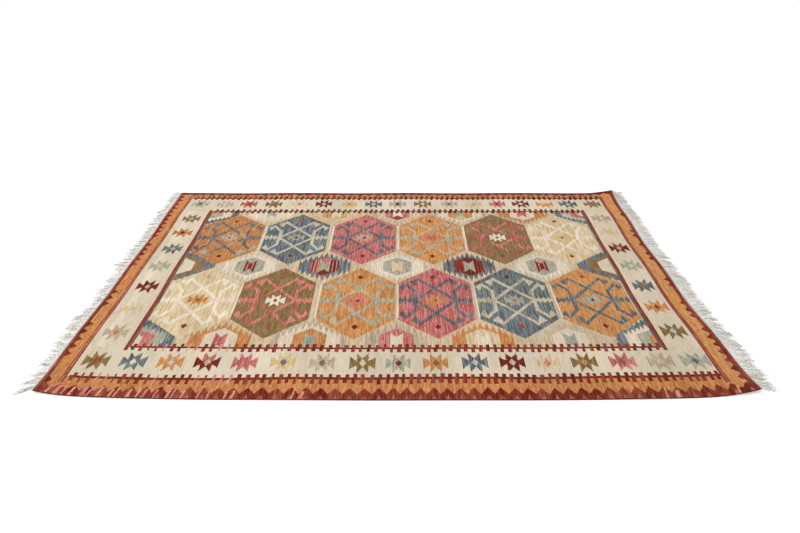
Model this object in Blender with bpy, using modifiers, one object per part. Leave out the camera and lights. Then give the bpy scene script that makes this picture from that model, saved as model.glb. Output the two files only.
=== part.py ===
"""A kilim rug lying on a level surface: one woven wool panel with a cotton warp fringe at each short end.

Metres, +Z up. X runs along the warps, from fringe to fringe, and Y along the wefts. Flat positions (u, v) are
measured from the middle of the woven panel before it is laid down; lie() says where the laid cloth puts them.
"""
import math
import random
from collections import namedtuple

import bmesh
import bpy

# Woven panel, flat
PANEL_LENGTH = 2.95
PANEL_WIDTH = 2.00
PANEL_THICKNESS = 0.004
HALF_LENGTH = PANEL_LENGTH / 2
HALF_WIDTH = PANEL_WIDTH / 2
PANEL_CELLS_X = 28
PANEL_CELLS_Y = 20
CELL_CROWDING = 0.2  # how much narrower the cells get towards the edges, where the cloth bends

# How the laid panel departs from a true rectangle
FIELD_BOW = 0.020  # the front half bows towards the front by this at mid length
FIELD_BOW_DEPTH = 1.60  # how far back from the front edge that bow fades out
FIELD_BOW_POWER = 2.5
EDGE_BOW = 0.022  # the front edge bows by this much more, and rounds off its corners
EDGE_BOW_DEPTH = 0.14
EDGE_BOW_POWER = 12.0
SIDE_WANDER = 0.0035  # the ends wander in and out by this
SIDE_WANDER_LENGTH = 0.62
SIDE_WANDER_SHIFT = 1.9  # radians by which the two ends are out of step with the middle
RIM_WIDTH = 0.30  # the band along the edges that isn't quite flat
END_WAVE_HEIGHT = 0.0030
END_WAVE_LENGTH = 0.58
END_WAVE_SLANT = 1.3  # radians per metre
SIDE_WAVE_HEIGHT = 0.0024
SIDE_WAVE_LENGTH = 0.74
SIDE_WAVE_SLANT = 0.9

# end: -1 left, 1 right. side: -1 front, 1 back. flare: how far the corner is drawn out along X.
# lift: its height off the floor. reach_x, reach_y: how far the lift runs along each edge.
Corner = namedtuple("Corner", "end side flare lift reach_x reach_y")
CORNERS = (
    Corner(end=-1, side=-1, flare=0.011, lift=0.006, reach_x=0.16, reach_y=0.16),
    Corner(end=1, side=-1, flare=0.040, lift=0.014, reach_x=0.19, reach_y=0.20),
    Corner(end=1, side=1, flare=0.022, lift=0.022, reach_x=0.17, reach_y=0.30),
    Corner(end=-1, side=1, flare=0.016, lift=0.003, reach_x=0.14, reach_y=0.14),
)
FLARE_POWER_X = 8.0
FLARE_POWER_Y = 2.2
LIFT_POWER = 1.6

# Fringe
GAP = 0.0003  # between the cloth and the web that carries a fringe
WEB_WIDTH = 0.007
WEB_THICKNESS = 0.003
LOCKS = 120  # at each end
LOCK_ROOT_SHARE = 0.42  # of the spacing
LOCK_LENGTH = 0.074
LOCK_LENGTH_SPREAD = 0.009
LOCK_TIP_WIDTH = 0.0040
LOCK_TIP_HEIGHT = 0.0014
LOCK_CURL = 0.0028
LOCK_CURL_TURN = 4.2  # radians of side-to-side swing along a lock
LOCK_STEPS = (0.22, 0.50, 0.78, 1.0)  # along the lock, as shares of its length
LANDING = 0.48  # the share of a lock's length in which it comes down to the floor
CORNER_FAN = 0.026  # the last locks at a corner turn outwards by this
CORNER_FAN_REACH = 0.16

SWAY_POWER = 1.4  # a lean grows this way from root to tip
# length: along the end. sway: how far the locks lean along the end, alike for neighbours.
Sway = namedtuple("Sway", "length sway phase")
SWAYS = {
    -1: (Sway(0.83, 0.013, 0.6), Sway(0.31, 0.004, 2.1)),
    1: (Sway(0.71, 0.012, 3.9), Sway(0.27, 0.004, 0.4)),
}
SEEDS = {-1: 11, 1: 23}

WOOL_COLOUR = (0.52, 0.30, 0.17, 1.0)
COTTON_COLOUR = (0.72, 0.69, 0.63, 1.0)


def ease(share):
    """0 to 1 with level ends."""
    share = min(max(share, 0.0), 1.0)
    return share * share * (3.0 - 2.0 * share)


def corner_weight(corner, u, v):
    """1 at this corner of the panel, falling to 0 at its reach along either edge."""
    along_x = 1.0 - (HALF_LENGTH - corner.end * u) / corner.reach_x
    along_y = 1.0 - (HALF_WIDTH - corner.side * v) / corner.reach_y
    return (max(along_x, 0.0) * max(along_y, 0.0)) ** LIFT_POWER


def rim_height(u, v):
    """The low waves that run along the panel's rim."""
    to_end = ease(1.0 - (HALF_LENGTH - abs(u)) / RIM_WIDTH)
    to_side = ease(1.0 - (HALF_WIDTH - abs(v)) / RIM_WIDTH)
    end_wave = 0.5 + 0.5 * math.sin(math.tau * v / END_WAVE_LENGTH + END_WAVE_SLANT * u)
    side_wave = 0.5 + 0.5 * math.sin(math.tau * u / SIDE_WAVE_LENGTH + SIDE_WAVE_SLANT * v)
    return max(END_WAVE_HEIGHT * to_end * end_wave, SIDE_WAVE_HEIGHT * to_side * side_wave)


def lie(u, v):
    """The underside's place, on the laid rug, of a flat position on the panel."""
    a = u / HALF_LENGTH
    b = v / HALF_WIDTH
    from_front = v + HALF_WIDTH
    bow = FIELD_BOW * (1.0 - abs(a) ** FIELD_BOW_POWER) * ease(1.0 - from_front / FIELD_BOW_DEPTH)
    bow += EDGE_BOW * (1.0 - abs(a) ** EDGE_BOW_POWER) * ease(1.0 - from_front / EDGE_BOW_DEPTH)
    wander = math.sin(math.tau * v / SIDE_WANDER_LENGTH + SIDE_WANDER_SHIFT * a)
    x = u + SIDE_WANDER * a * a * wander
    y = v - bow
    z = rim_height(u, v)
    for corner in CORNERS:
        outward = max(corner.end * a, 0.0) ** FLARE_POWER_X * max(corner.side * b, 0.0) ** FLARE_POWER_Y
        x += corner.end * corner.flare * outward
        z += corner.lift * corner_weight(corner, u, v)
    return x, y, z


def crowd(share):
    """Moves a grid line from its even place, -1 to 1, so that cells narrow towards both ends."""
    return share * (1.0 + CELL_CROWDING) - CELL_CROWDING * share ** 3


def material(name, colour, roughness):
    made = bpy.data.materials.new(name)
    made.use_nodes = True
    shader = made.node_tree.nodes["Principled BSDF"]
    shader.inputs["Base Color"].default_value = colour
    shader.inputs["Roughness"].default_value = roughness
    shader.inputs["Metallic"].default_value = 0.0
    return made


def add_object(name, bm, collection, finish, parent):
    mesh = bpy.data.meshes.new(name)
    bm.to_mesh(mesh)
    bm.free()
    mesh.materials.append(finish)
    made = bpy.data.objects.new(name, mesh)
    made.parent = parent
    collection.objects.link(made)
    return made


def build_cloth(collection, parent):
    """The woven panel: its underside as a grid laid on the floor, thickened upwards."""
    bm = bmesh.new()
    bmesh.ops.create_grid(bm, x_segments=PANEL_CELLS_X, y_segments=PANEL_CELLS_Y, size=1.0)
    for vert in bm.verts:
        u = HALF_LENGTH * crowd(vert.co.x)
        v = HALF_WIDTH * crowd(vert.co.y)
        vert.co = lie(u, v)
    cloth = add_object("kilim_cloth", bm, collection, material("wool", WOOL_COLOUR, 0.9), parent)
    thicken = cloth.modifiers.new("thickness", "SOLIDIFY")
    thicken.thickness = PANEL_THICKNESS
    thicken.offset = 1.0
    thicken.use_even_offset = True
    return cloth


def end_line(end):
    """The panel's end as the cloth's own grid has it: (x, y, z) at each grid line, front to back."""
    shares = [crowd(2.0 * i / PANEL_CELLS_Y - 1.0) for i in range(PANEL_CELLS_Y + 1)]
    return [lie(end * HALF_LENGTH, HALF_WIDTH * share) for share in shares]


def point_on(line, y):
    """The point at y on a line of points that run from front to back."""
    for near, far in zip(line, line[1:]):
        if y <= far[1]:
            break
    share = (y - near[1]) / (far[1] - near[1])
    return tuple(p + share * (q - p) for p, q in zip(near, far))


def lock_sway(end, y, front, back):
    """How far a lock at y leans along the end by its tip."""
    lean = sum(s.sway * math.sin(math.tau * y / s.length + s.phase) for s in SWAYS[end])
    fan_back = ease(1.0 - (back - y) / CORNER_FAN_REACH)
    fan_front = ease(1.0 - (y - front) / CORNER_FAN_REACH)
    calm = 1.0 - max(fan_back, fan_front)
    return lean * calm + CORNER_FAN * (fan_back - fan_front)


def grow_lock(bm, root, end, length, sway, curl):
    """Extrudes one four-sided lock from its root face, out and down to the floor, narrowing to its tip."""
    centre = root.calc_center_median()
    sides = [math.copysign(1.0, vert.co.y - centre.y) for vert in root.verts]
    tops = [vert.co.z > centre.z for vert in root.verts]
    root_width = max(vert.co.y for vert in root.verts) - min(vert.co.y for vert in root.verts)
    lift = min(vert.co.z for vert in root.verts)
    tip = root
    for share in LOCK_STEPS:
        tip = bmesh.ops.extrude_discrete_faces(bm, faces=[tip])["faces"][0]
        x = centre.x + end * length * share
        y = centre.y + sway * share ** SWAY_POWER + curl * math.sin(LOCK_CURL_TURN * share)
        lean = SWAY_POWER * sway * share ** (SWAY_POWER - 1.0) / length
        lean += LOCK_CURL_TURN * curl * math.cos(LOCK_CURL_TURN * share) / length
        across = 0.5 * (root_width + (LOCK_TIP_WIDTH - root_width) * share) / math.hypot(1.0, lean)
        floor = lift * max(1.0 - share / LANDING, 0.0) ** 2
        height = WEB_THICKNESS + (LOCK_TIP_HEIGHT - WEB_THICKNESS) * share
        for vert, side, top in zip(tip.verts, sides, tops):
            vert.co.x = x - end * side * across * lean
            vert.co.y = y + side * across
            vert.co.z = floor + (height if top else 0.0)


def build_fringe(end, name, collection, parent, finish):
    """A narrow web along one end of the panel, with its locks growing from its outer side."""
    line = end_line(end)
    front = line[0][1]
    back = line[-1][1]
    spacing = (back - front) / LOCKS
    bm = bmesh.new()
    bmesh.ops.create_grid(bm, x_segments=1, y_segments=2 * LOCKS, size=1.0)
    for vert in bm.verts:
        station = round((vert.co.y + 1.0) * LOCKS)
        lock, far_side = divmod(station, 2)
        y = front + spacing * (lock + LOCK_ROOT_SHARE * far_side)
        x, y, z = point_on(line, y)
        outward = GAP + (WEB_WIDTH if vert.co.x * end > 0.0 else 0.0)
        vert.co = (x + end * outward, y, z)
    raised = bmesh.ops.extrude_face_region(bm, geom=bm.faces[:])["geom"]
    for vert in raised:
        if isinstance(vert, bmesh.types.BMVert):
            vert.co.z += WEB_THICKNESS
    bmesh.ops.recalc_face_normals(bm, faces=bm.faces[:])
    bm.normal_update()

    draw = random.Random(SEEDS[end])
    outer = [face for face in bm.faces if face.normal.x * end > 0.8]
    outer.sort(key=lambda face: face.calc_center_median().y)
    for root in outer[::2]:
        length = LOCK_LENGTH + draw.uniform(-LOCK_LENGTH_SPREAD, LOCK_LENGTH_SPREAD)
        curl = draw.uniform(-LOCK_CURL, LOCK_CURL)
        sway = lock_sway(end, root.calc_center_median().y, front, back)
        grow_lock(bm, root, end, length, sway, curl)
    bmesh.ops.recalc_face_normals(bm, faces=bm.faces[:])
    return add_object(name, bm, collection, finish, parent)


def centre_on_origin(rug, parts):
    """Puts the middle of the whole rug's footprint over the origin."""
    corners = [vert.co for part in parts for vert in part.data.vertices]
    xs = [corner.x for corner in corners]
    ys = [corner.y for corner in corners]
    rug.location = (-(min(xs) + max(xs)) / 2.0, -(min(ys) + max(ys)) / 2.0, 0.0)


def main():
    for old in list(bpy.data.objects):
        bpy.data.objects.remove(old, do_unlink=True)
    collection = bpy.data.collections.new("kilim_rug")
    bpy.context.scene.collection.children.link(collection)
    rug = bpy.data.objects.new("rug_centre", None)
    collection.objects.link(rug)
    cotton = material("cotton", COTTON_COLOUR, 0.95)
    cloth = build_cloth(collection, rug)
    left = build_fringe(-1, "fringe_left", collection, rug, cotton)
    right = build_fringe(1, "fringe_right", collection, rug, cotton)
    centre_on_origin(rug, (cloth, left, right))


main()
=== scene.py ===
"""The looks of a long kilim rug: its woven wool panel, charted patch by patch, and its cotton fringes.

Metres, +Z up. Flat positions (u, v) are measured from the middle of the woven panel before it is laid down:
u runs along the warps, from fringe to fringe, and v along the wefts, from the front edge to the back one.
"""

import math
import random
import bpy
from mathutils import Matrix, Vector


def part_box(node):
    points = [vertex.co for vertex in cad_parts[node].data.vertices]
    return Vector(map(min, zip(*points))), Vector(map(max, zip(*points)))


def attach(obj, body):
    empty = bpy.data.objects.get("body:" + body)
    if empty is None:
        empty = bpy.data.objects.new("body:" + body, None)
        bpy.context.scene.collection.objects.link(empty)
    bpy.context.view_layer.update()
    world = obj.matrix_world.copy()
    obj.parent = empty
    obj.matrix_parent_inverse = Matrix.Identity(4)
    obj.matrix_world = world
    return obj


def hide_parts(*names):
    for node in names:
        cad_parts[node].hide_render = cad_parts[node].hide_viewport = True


bl_info = {
    "name": "Kilim rug",
    "version": (1, 0, 0),
    "blender": (4, 5, 0),
    "location": "View3D > Sidebar > Kilim",
    "description": "Weaves a flat kilim rug with hooked medallions, star borders and loose cotton fringes",
    "category": "Add Mesh",
}

from collections import namedtuple

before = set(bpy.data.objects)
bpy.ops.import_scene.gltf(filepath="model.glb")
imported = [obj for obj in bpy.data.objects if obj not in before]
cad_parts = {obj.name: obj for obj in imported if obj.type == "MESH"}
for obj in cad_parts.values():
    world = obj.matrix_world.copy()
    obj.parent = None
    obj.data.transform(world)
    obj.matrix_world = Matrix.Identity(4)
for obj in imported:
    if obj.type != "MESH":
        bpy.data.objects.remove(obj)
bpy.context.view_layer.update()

import bmesh
import bpy
import numpy as np
from bpy.props import (
    FloatProperty,
    FloatVectorProperty,
    IntProperty,
    PointerProperty,
)
from mathutils import Vector, noise
from mathutils.geometry import delaunay_2d_cdt

# The panel, flat
PANEL_LENGTH = 2.95
PANEL_WIDTH = 2.00
PANEL_THICKNESS = 0.004
HALF_LENGTH = PANEL_LENGTH / 2
HALF_WIDTH = PANEL_WIDTH / 2

# How the laid panel departs from a true rectangle, as in its solid. Only the front edge bows a little more.
FIELD_BOW = 0.020
FIELD_BOW_DEPTH = 1.60
FIELD_BOW_POWER = 2.5
EDGE_BOW = 0.030
EDGE_BOW_SKEW = 0.08  # the bow is this share deeper at the right end and shallower at the left
EDGE_BOW_DEPTH = 0.14
EDGE_BOW_POWER = 12.0
SIDE_WANDER = 0.0035
SIDE_WANDER_LENGTH = 0.62
SIDE_WANDER_SHIFT = 1.9
RIM_WIDTH = 0.30
END_WAVE_HEIGHT = 0.0030
END_WAVE_LENGTH = 0.58
END_WAVE_SLANT = 1.3
SIDE_WAVE_HEIGHT = 0.0024
SIDE_WAVE_LENGTH = 0.74
SIDE_WAVE_SLANT = 0.9

Corner = namedtuple("Corner", "end side flare lift reach_x reach_y")
CORNERS = (
    Corner(end=-1, side=-1, flare=0.011, lift=0.006, reach_x=0.16, reach_y=0.16),
    Corner(end=1, side=-1, flare=0.040, lift=0.014, reach_x=0.19, reach_y=0.20),
    Corner(end=1, side=1, flare=0.022, lift=0.022, reach_x=0.17, reach_y=0.30),
    Corner(end=-1, side=1, flare=0.016, lift=0.003, reach_x=0.14, reach_y=0.14),
)
FLARE_POWER_X = 8.0
FLARE_POWER_Y = 2.2
LIFT_POWER = 1.6
OUTLINE_STEPS = 400  # along each side, to find how far the laid panel reaches

# The chart's main lines, in flat metres
FIELD = (-1.1965, -0.6990, 1.2095, 0.7075)  # low u, low v, high u, high v
FRONT_COMB = -0.8950
BACK_COMB = 0.9050
OUTER_LOW_U, OUTER_HIGH_U = -1.386, 1.377  # the cream border's ends
UNDERLAP = 0.005  # the cream is charted a little on under the lines that close it
MEDALLION_ROWS = (0.3445, -0.3190)
LOZENGE_ROWS = (0.6765, 0.0128, -0.6505)


# ---------------------------------------------------------------- how the cloth lies

def ease(share):
    """0 to 1 with level ends."""
    share = min(max(share, 0.0), 1.0)
    return share * share * (3.0 - 2.0 * share)


def corner_weight(corner, u, v):
    """1 at this corner of the panel, falling to 0 at its reach along either edge."""
    along_x = 1.0 - (HALF_LENGTH - corner.end * u) / corner.reach_x
    along_y = 1.0 - (HALF_WIDTH - corner.side * v) / corner.reach_y
    return (max(along_x, 0.0) * max(along_y, 0.0)) ** LIFT_POWER


def rim_height(u, v):
    """The low waves that run along the panel's rim."""
    to_end = ease(1.0 - (HALF_LENGTH - abs(u)) / RIM_WIDTH)
    to_side = ease(1.0 - (HALF_WIDTH - abs(v)) / RIM_WIDTH)
    end_wave = 0.5 + 0.5 * math.sin(math.tau * v / END_WAVE_LENGTH + END_WAVE_SLANT * u)
    side_wave = 0.5 + 0.5 * math.sin(math.tau * u / SIDE_WAVE_LENGTH + SIDE_WAVE_SLANT * v)
    return max(END_WAVE_HEIGHT * to_end * end_wave, SIDE_WAVE_HEIGHT * to_side * side_wave)


def lie(u, v):
    """The underside's place, before the rug is centred, of a flat position on the panel."""
    a = u / HALF_LENGTH
    b = v / HALF_WIDTH
    from_front = v + HALF_WIDTH
    bow = FIELD_BOW * (1.0 - abs(a) ** FIELD_BOW_POWER) * ease(1.0 - from_front / FIELD_BOW_DEPTH)
    edge_bow = EDGE_BOW * (1.0 + EDGE_BOW_SKEW * a) * (1.0 - abs(a) ** EDGE_BOW_POWER)
    bow += edge_bow * ease(1.0 - from_front / EDGE_BOW_DEPTH)
    wander = math.sin(math.tau * v / SIDE_WANDER_LENGTH + SIDE_WANDER_SHIFT * a)
    x = u + SIDE_WANDER * a * a * wander
    y = v - bow
    z = rim_height(u, v)
    for corner in CORNERS:
        outward = max(corner.end * a, 0.0) ** FLARE_POWER_X * max(corner.side * b, 0.0) ** FLARE_POWER_Y
        x += corner.end * corner.flare * outward
        z += corner.lift * corner_weight(corner, u, v)
    return Vector((x, y, z))


def centring():
    """The shift that puts the laid panel where the packed solid has it."""
    low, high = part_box("kilim_cloth")
    edge = [-1.0 + 2.0 * i / OUTLINE_STEPS for i in range(OUTLINE_STEPS + 1)]
    rim = [lie(HALF_LENGTH * s, HALF_WIDTH * t) for s in (-1.0, 1.0) for t in edge]
    rim += [lie(HALF_LENGTH * t, HALF_WIDTH * s) for s in (-1.0, 1.0) for t in edge]
    x = (low.x + high.x - min(p.x for p in rim) - max(p.x for p in rim)) / 2.0
    y = high.y - max(p.y for p in rim)
    return Vector((x, y, 0.0))


# ---------------------------------------------------------------- the chart

Patch = namedtuple("Patch", "outline yarn lot")
WEFT_STEP = 0.001  # a stepped edge moves along u by whole multiples of this
STEP_UNEVENNESS = 0.0018
MAIN_YARN_SHARE = 0.72  # of a motif that is woven from two yarns
SAME_PLACE = 1e-6
NO_LENGTH = 1e-9  # a length below this counts as none


def woven_steps(points, row, unevenness):
    """A straight-sided outline as the loom makes it: slants become uneven steps of whole rows along v."""
    stepped = []
    for (u0, v0), (u1, v1) in zip(points, points[1:] + points[:1]):
        first, last = round(v0 / row), round(v1 / row)
        way = 1 if last > first else -1
        for number in range(first, last, way):
            share = (number + 0.5 * way - first) / (last - first)
            stray = unevenness() if u0 != u1 else 0.0
            u = WEFT_STEP * round((u0 + (u1 - u0) * share + stray) / WEFT_STEP)
            stepped.append((u, number * row))
            stepped.append((u, (number + way) * row))
    return stepped


def same(a, b):
    return abs(a - b) < SAME_PLACE


def straight(a, b, c):
    """Whether three points stand in one line along u or along v."""
    return any(same(a[i], b[i]) and same(b[i], c[i]) for i in (0, 1))


def without_needless_points(points):
    """The same outline without repeated points and without points inside a straight run."""
    kept = []
    for point in points:
        if kept and same(point[0], kept[-1][0]) and same(point[1], kept[-1][1]):
            continue
        while len(kept) > 1 and straight(kept[-2], kept[-1], point):
            kept.pop()
        kept.append(point)
    return kept


def corners_of(low_u, low_v, high_u, high_v):
    """The outline of a block whose sides run along the warps and the wefts."""
    return [(low_u, low_v), (high_u, low_v), (high_u, high_v), (low_u, high_v)]


class Chart:
    """The woven patches in flat metres. A later patch covers an earlier one."""

    def __init__(self, row, seed, coarseness=1.0):
        self.row = row
        self.coarseness = coarseness
        self.draw = random.Random(seed)
        self.uneven = random.Random(seed + 1)
        self.lot = 0.5
        self.patches = []
        inset = PANEL_THICKNESS / 2
        self.cloth = (inset - HALF_LENGTH, inset - HALF_WIDTH, HALF_LENGTH - inset, HALF_WIDTH - inset)
        self.window = self.cloth

    def add(self, outline, yarn):
        low_u, low_v, high_u, high_v = self.window
        inside = [(min(max(u, low_u), high_u), min(max(v, low_v), high_v)) for u, v in outline]
        inside = without_needless_points(inside)
        if len(inside) > 3:
            self.patches.append(Patch(inside, yarn, self.lot))

    def change_lot(self):
        """The patches that follow are woven with another lot of each yarn."""
        self.lot = self.draw.random()

    def shape(self, points, yarn, row=None):
        """A patch with slanting sides, woven in steps."""
        self.add(woven_steps(list(points), (row or self.row) * self.coarseness, self.stray), yarn)

    def block(self, low_u, low_v, high_u, high_v, yarn):
        """A patch with straight sides along the warps and the wefts."""
        self.add(corners_of(low_u, low_v, high_u, high_v), yarn)

    def jitter(self, reach):
        return self.draw.uniform(-reach, reach)

    def stray(self):
        return self.uneven.uniform(-STEP_UNEVENNESS, STEP_UNEVENNESS)

    def either(self, main, other):
        """Mostly the main yarn, now and then the other."""
        return main if self.draw.random() < MAIN_YARN_SHARE else other


def around(centre, points, turn_u=1.0, turn_v=1.0):
    """Points given from a motif's centre, mirrored where a turn is -1, as flat positions."""
    return [(centre[0] + turn_u * u, centre[1] + turn_v * v) for u, v in points]


def diamond(half_u, half_v):
    return [(-half_u, 0.0), (0.0, -half_v), (half_u, 0.0), (0.0, half_v)]


Hexagon = namedtuple("Hexagon", "half_u half_v shoulder")
Saw = namedtuple("Saw", "half_u half_v shoulder teeth depth")


def hexagon(half_u, half_v, shoulder):
    """An upright hexagon: sides along v up to the shoulders, points at the top and bottom."""
    right = [(0.0, -half_v), (half_u, -shoulder), (half_u, shoulder)]
    return right + [(-u, -v) for u, v in right]


def serrated(half_u, half_v, shoulder, teeth, depth):
    """The same hexagon with saw-toothed slants, whose teeth point along v."""
    slant = [(0.0, half_v + depth)]
    for tooth in range(teeth):
        inner = (tooth + 0.5) / teeth
        outer = (tooth + 1.0) / teeth
        slant.append((half_u * inner, half_v + (shoulder - half_v) * inner - depth))
        slant.append((half_u * outer, half_v + (shoulder - half_v) * outer + depth))
    right_side = [(u, v) for u, v in reversed(slant)]
    top = [(-u, v) for u, v in slant[1:]]
    bottom = [(-u, -v) for u, v in reversed(slant[1:])]
    lower_right = [(u, -v) for u, v in slant]
    return right_side + top + bottom + lower_right


def band(start, end, width):
    """A slanting band whose width is measured along v."""
    (u0, v0), (u1, v1) = start, end
    half = width / 2
    return [(u0, v0 - half), (u1, v1 - half), (u1, v1 + half), (u0, v0 + half)]


# Eight-pointed star of the borders, half sizes
STAR_BODY_U = 0.0255
STAR_BODY_V = 0.064
STAR_NOTCH = 0.034
STAR_WING_U = 0.055
STAR_WING_V = 0.039
STAR_WING_ROOT = 0.45  # the wings' inner points reach under the body, to this share of its half size
STAR_HEART_U = 0.016
STAR_HEART_V = 0.024
STAR_ROW = 0.0045
STAR_SLANT = 0.0025
WING_UNEVENNESS_U = 0.06
WING_UNEVENNESS_V = 0.10
EAR_FOOT = 0.006  # the ears' yarn starts this far behind the middle


def star(chart, centre, yarn, heart, scale=1.0, ears=None):
    """A notched body with two pointed wings and a diamond heart. Another yarn may weave the upper ears."""
    chart.change_lot()
    u, v, notch = STAR_BODY_U * scale, STAR_BODY_V * scale, STAR_NOTCH * scale
    slant = chart.jitter(STAR_SLANT)
    for side in (-1, 1):
        wing_u = STAR_WING_U * scale * (1.0 + chart.jitter(WING_UNEVENNESS_U))
        wing_v = STAR_WING_V * scale * (1.0 + chart.jitter(WING_UNEVENNESS_V))
        wing = [(u * STAR_WING_ROOT, 0.0), (wing_u, -wing_v), (wing_u, wing_v)]
        chart.shape(around(centre, wing, side), yarn, STAR_ROW)
    top = [(u + slant, v), (slant, v - notch), (slant - u, v)]
    bottom = [(-u - slant, -v), (-slant, notch - v), (u - slant, -v)]
    chart.shape(around(centre, bottom + top), yarn, STAR_ROW)
    if ears:
        chart.shape(around(centre, [(-u, EAR_FOOT), (u, EAR_FOOT), *top]), ears, STAR_ROW)
    if heart:
        chart.shape(around(centre, diamond(STAR_HEART_U * scale, STAR_HEART_V * scale)), heart, STAR_ROW)


# Hooked medallion, from its centre
MEDALLION_U = 0.190
MEDALLION_V = 0.314
MEDALLION_SHOULDER = 0.160
SHADE_WEDGE = ((0.004, 0.308), (0.185, 0.160), (0.185, 0.122), (0.030, 0.252))
DIAMOND_U = 0.102
DIAMOND_V = 0.109
LATTICE = 0.0175
LONG_ARM_END = (-0.088, 0.203)
LONG_ARM_BARB = ((-0.132, 0.174), (-0.100, 0.134), (-0.076, 0.211))
SIDE_ARM_START = 0.080
SIDE_ARM_END = (0.150, 0.148)
SIDE_ARM_BARB = ((0.141, 0.162), (0.164, 0.086), (0.186, 0.128))
UPRIGHT_V = 0.094
ARM_LENGTHS = 4  # each arm is woven in this many lengths, which may differ in yarn
CROSSBAR_V = 0.010
CROSSBAR_TICKS = (0.127, 0.152, 0.177)
CROSSBAR_TICK_U = 0.0055
CROSSBAR_TICK_V = 0.026
CROSSBAR_TICK_UNEVENNESS = 0.005
SPOT_V = 0.219
SPOT_HALF = (0.0165, 0.0205)
SPOT_SWAY = 0.004
MEDALLION_STAR = 0.86
MEDALLION_HEART = (0.012, 0.017)


def arm(chart, centre, start, end, width, yarns):
    """A slanting arm of the lattice, in lengths of its main yarn or the other one."""
    def along(part):
        return tuple(a + (b - a) * part / ARM_LENGTHS for a, b in zip(start, end))
    for number in range(ARM_LENGTHS):
        chart.shape(around(centre, band(along(number), along(number + 1), width)), chart.either(*yarns))


def lattice_quarter(chart, centre, turn_u, turn_v, yarns):
    """A long arm, a side arm, their barbs and half of the upright between them."""
    def turned(u, v):
        return turn_u * u, turn_v * v
    long_width = LATTICE * math.hypot(1.0, DIAMOND_V / DIAMOND_U)
    side_slope = (SIDE_ARM_END[1] - SIDE_ARM_START) / (SIDE_ARM_END[0] - DIAMOND_U)
    side_width = LATTICE * math.hypot(1.0, side_slope)
    arm(chart, centre, turned(DIAMOND_U, 0.0), turned(*LONG_ARM_END), long_width, yarns)
    chart.shape(around(centre, LONG_ARM_BARB, turn_u, turn_v), chart.either(*yarns))
    arm(chart, centre, turned(DIAMOND_U, SIDE_ARM_START), turned(*SIDE_ARM_END), side_width, yarns)
    chart.shape(around(centre, SIDE_ARM_BARB, turn_u, turn_v), chart.either(*yarns))
    upright = corners_of(DIAMOND_U - LATTICE / 2, 0.0, DIAMOND_U + LATTICE / 2, UPRIGHT_V)
    chart.shape(around(centre, upright, turn_u, turn_v), chart.either(*yarns))


def crossbar(chart, centre, turn_u, yarn):
    """A bar from the upright to the hexagon's side, with three ticks across it."""
    bar = corners_of(DIAMOND_U, -CROSSBAR_V, MEDALLION_U, CROSSBAR_V)
    chart.shape(around(centre, bar, turn_u), yarn)
    for tick in CROSSBAR_TICKS:
        reach = CROSSBAR_TICK_V + chart.jitter(CROSSBAR_TICK_UNEVENNESS)
        mark = corners_of(tick - CROSSBAR_TICK_U, -reach, tick + CROSSBAR_TICK_U, reach)
        chart.shape(around(centre, mark, turn_u), yarn)


def medallion(chart, centre, row):
    """A hexagon with a hooked lattice round a small star, and a spot in each point."""
    chart.change_lot()
    yarns = (row.hooks, row.other)
    chart.shape(around(centre, hexagon(MEDALLION_U, MEDALLION_V, MEDALLION_SHOULDER)), row.ground)
    if row.shade:
        for turn in (-1, 1):
            chart.shape(around(centre, SHADE_WEDGE, chart.draw.choice((-1, 1)), turn), row.shade)
    for turn_u in (-1, 1):
        for turn_v in (-1, 1):
            lattice_quarter(chart, centre, turn_u, turn_v, yarns)
        crossbar(chart, centre, turn_u, chart.either(*yarns))
    star(chart, centre, row.star, None, MEDALLION_STAR)
    chart.shape(around(centre, diamond(*MEDALLION_HEART)), row.heart, STAR_ROW)
    for turn, spot in ((1, row.top), (-1, row.bottom)):
        place = (centre[0] + chart.jitter(SPOT_SWAY), centre[1] + turn * SPOT_V)
        chart.shape(around(place, diamond(*SPOT_HALF)), spot, STAR_ROW)


# Small lozenge, from its centre
HALO = Saw(0.170, 0.158, 0.060, 6, 0.022)
RING = Saw(0.142, 0.130, 0.048, 5, 0.024)
CORE = Hexagon(0.078, 0.098, 0.050)
CAP = ((0.0, 0.030), (0.040, 0.072), (0.0, 0.098), (-0.040, 0.072))
SPOOL_U = 0.029
SPOOL_V = 0.060
SPOOL_NOTCH = 0.030
SPOOL_STRIPES = (-0.017, 0.011)
SPOOL_STRIPE_V = 0.040
SIDE_STRIPES = (0.042, 0.061)
STRIPE_WIDTH = 0.0065


def spool(chart, centre, yarn, stripe=None):
    """A block with a notch at the top and bottom, between the hexagon's caps."""
    outline = [(-SPOOL_U, -SPOOL_V), (0.0, SPOOL_NOTCH - SPOOL_V), (SPOOL_U, -SPOOL_V)]
    outline += [(-u, -v) for u, v in outline]
    chart.shape(around(centre, outline), yarn)
    if stripe:
        u, v = centre
        for left in SPOOL_STRIPES:
            chart.block(u + left, v - SPOOL_STRIPE_V, u + left + STRIPE_WIDTH, v + SPOOL_STRIPE_V, stripe)


def striped_side(chart, centre, turn, yarn, stripe):
    """The core on one side of the spool, in its own yarn with stripes along the weft."""
    stripes = [(left, left + STRIPE_WIDTH, stripe) for left in SIDE_STRIPES]
    for low, high, own in [(SPOOL_U, CORE.half_u, yarn), *stripes]:
        near, far = (CORE.half_v - (CORE.half_v - CORE.shoulder) * u / CORE.half_u for u in (low, high))
        chart.shape(around(centre, [(low, -near), (high, -far), (high, far), (low, near)], turn), own)


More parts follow.
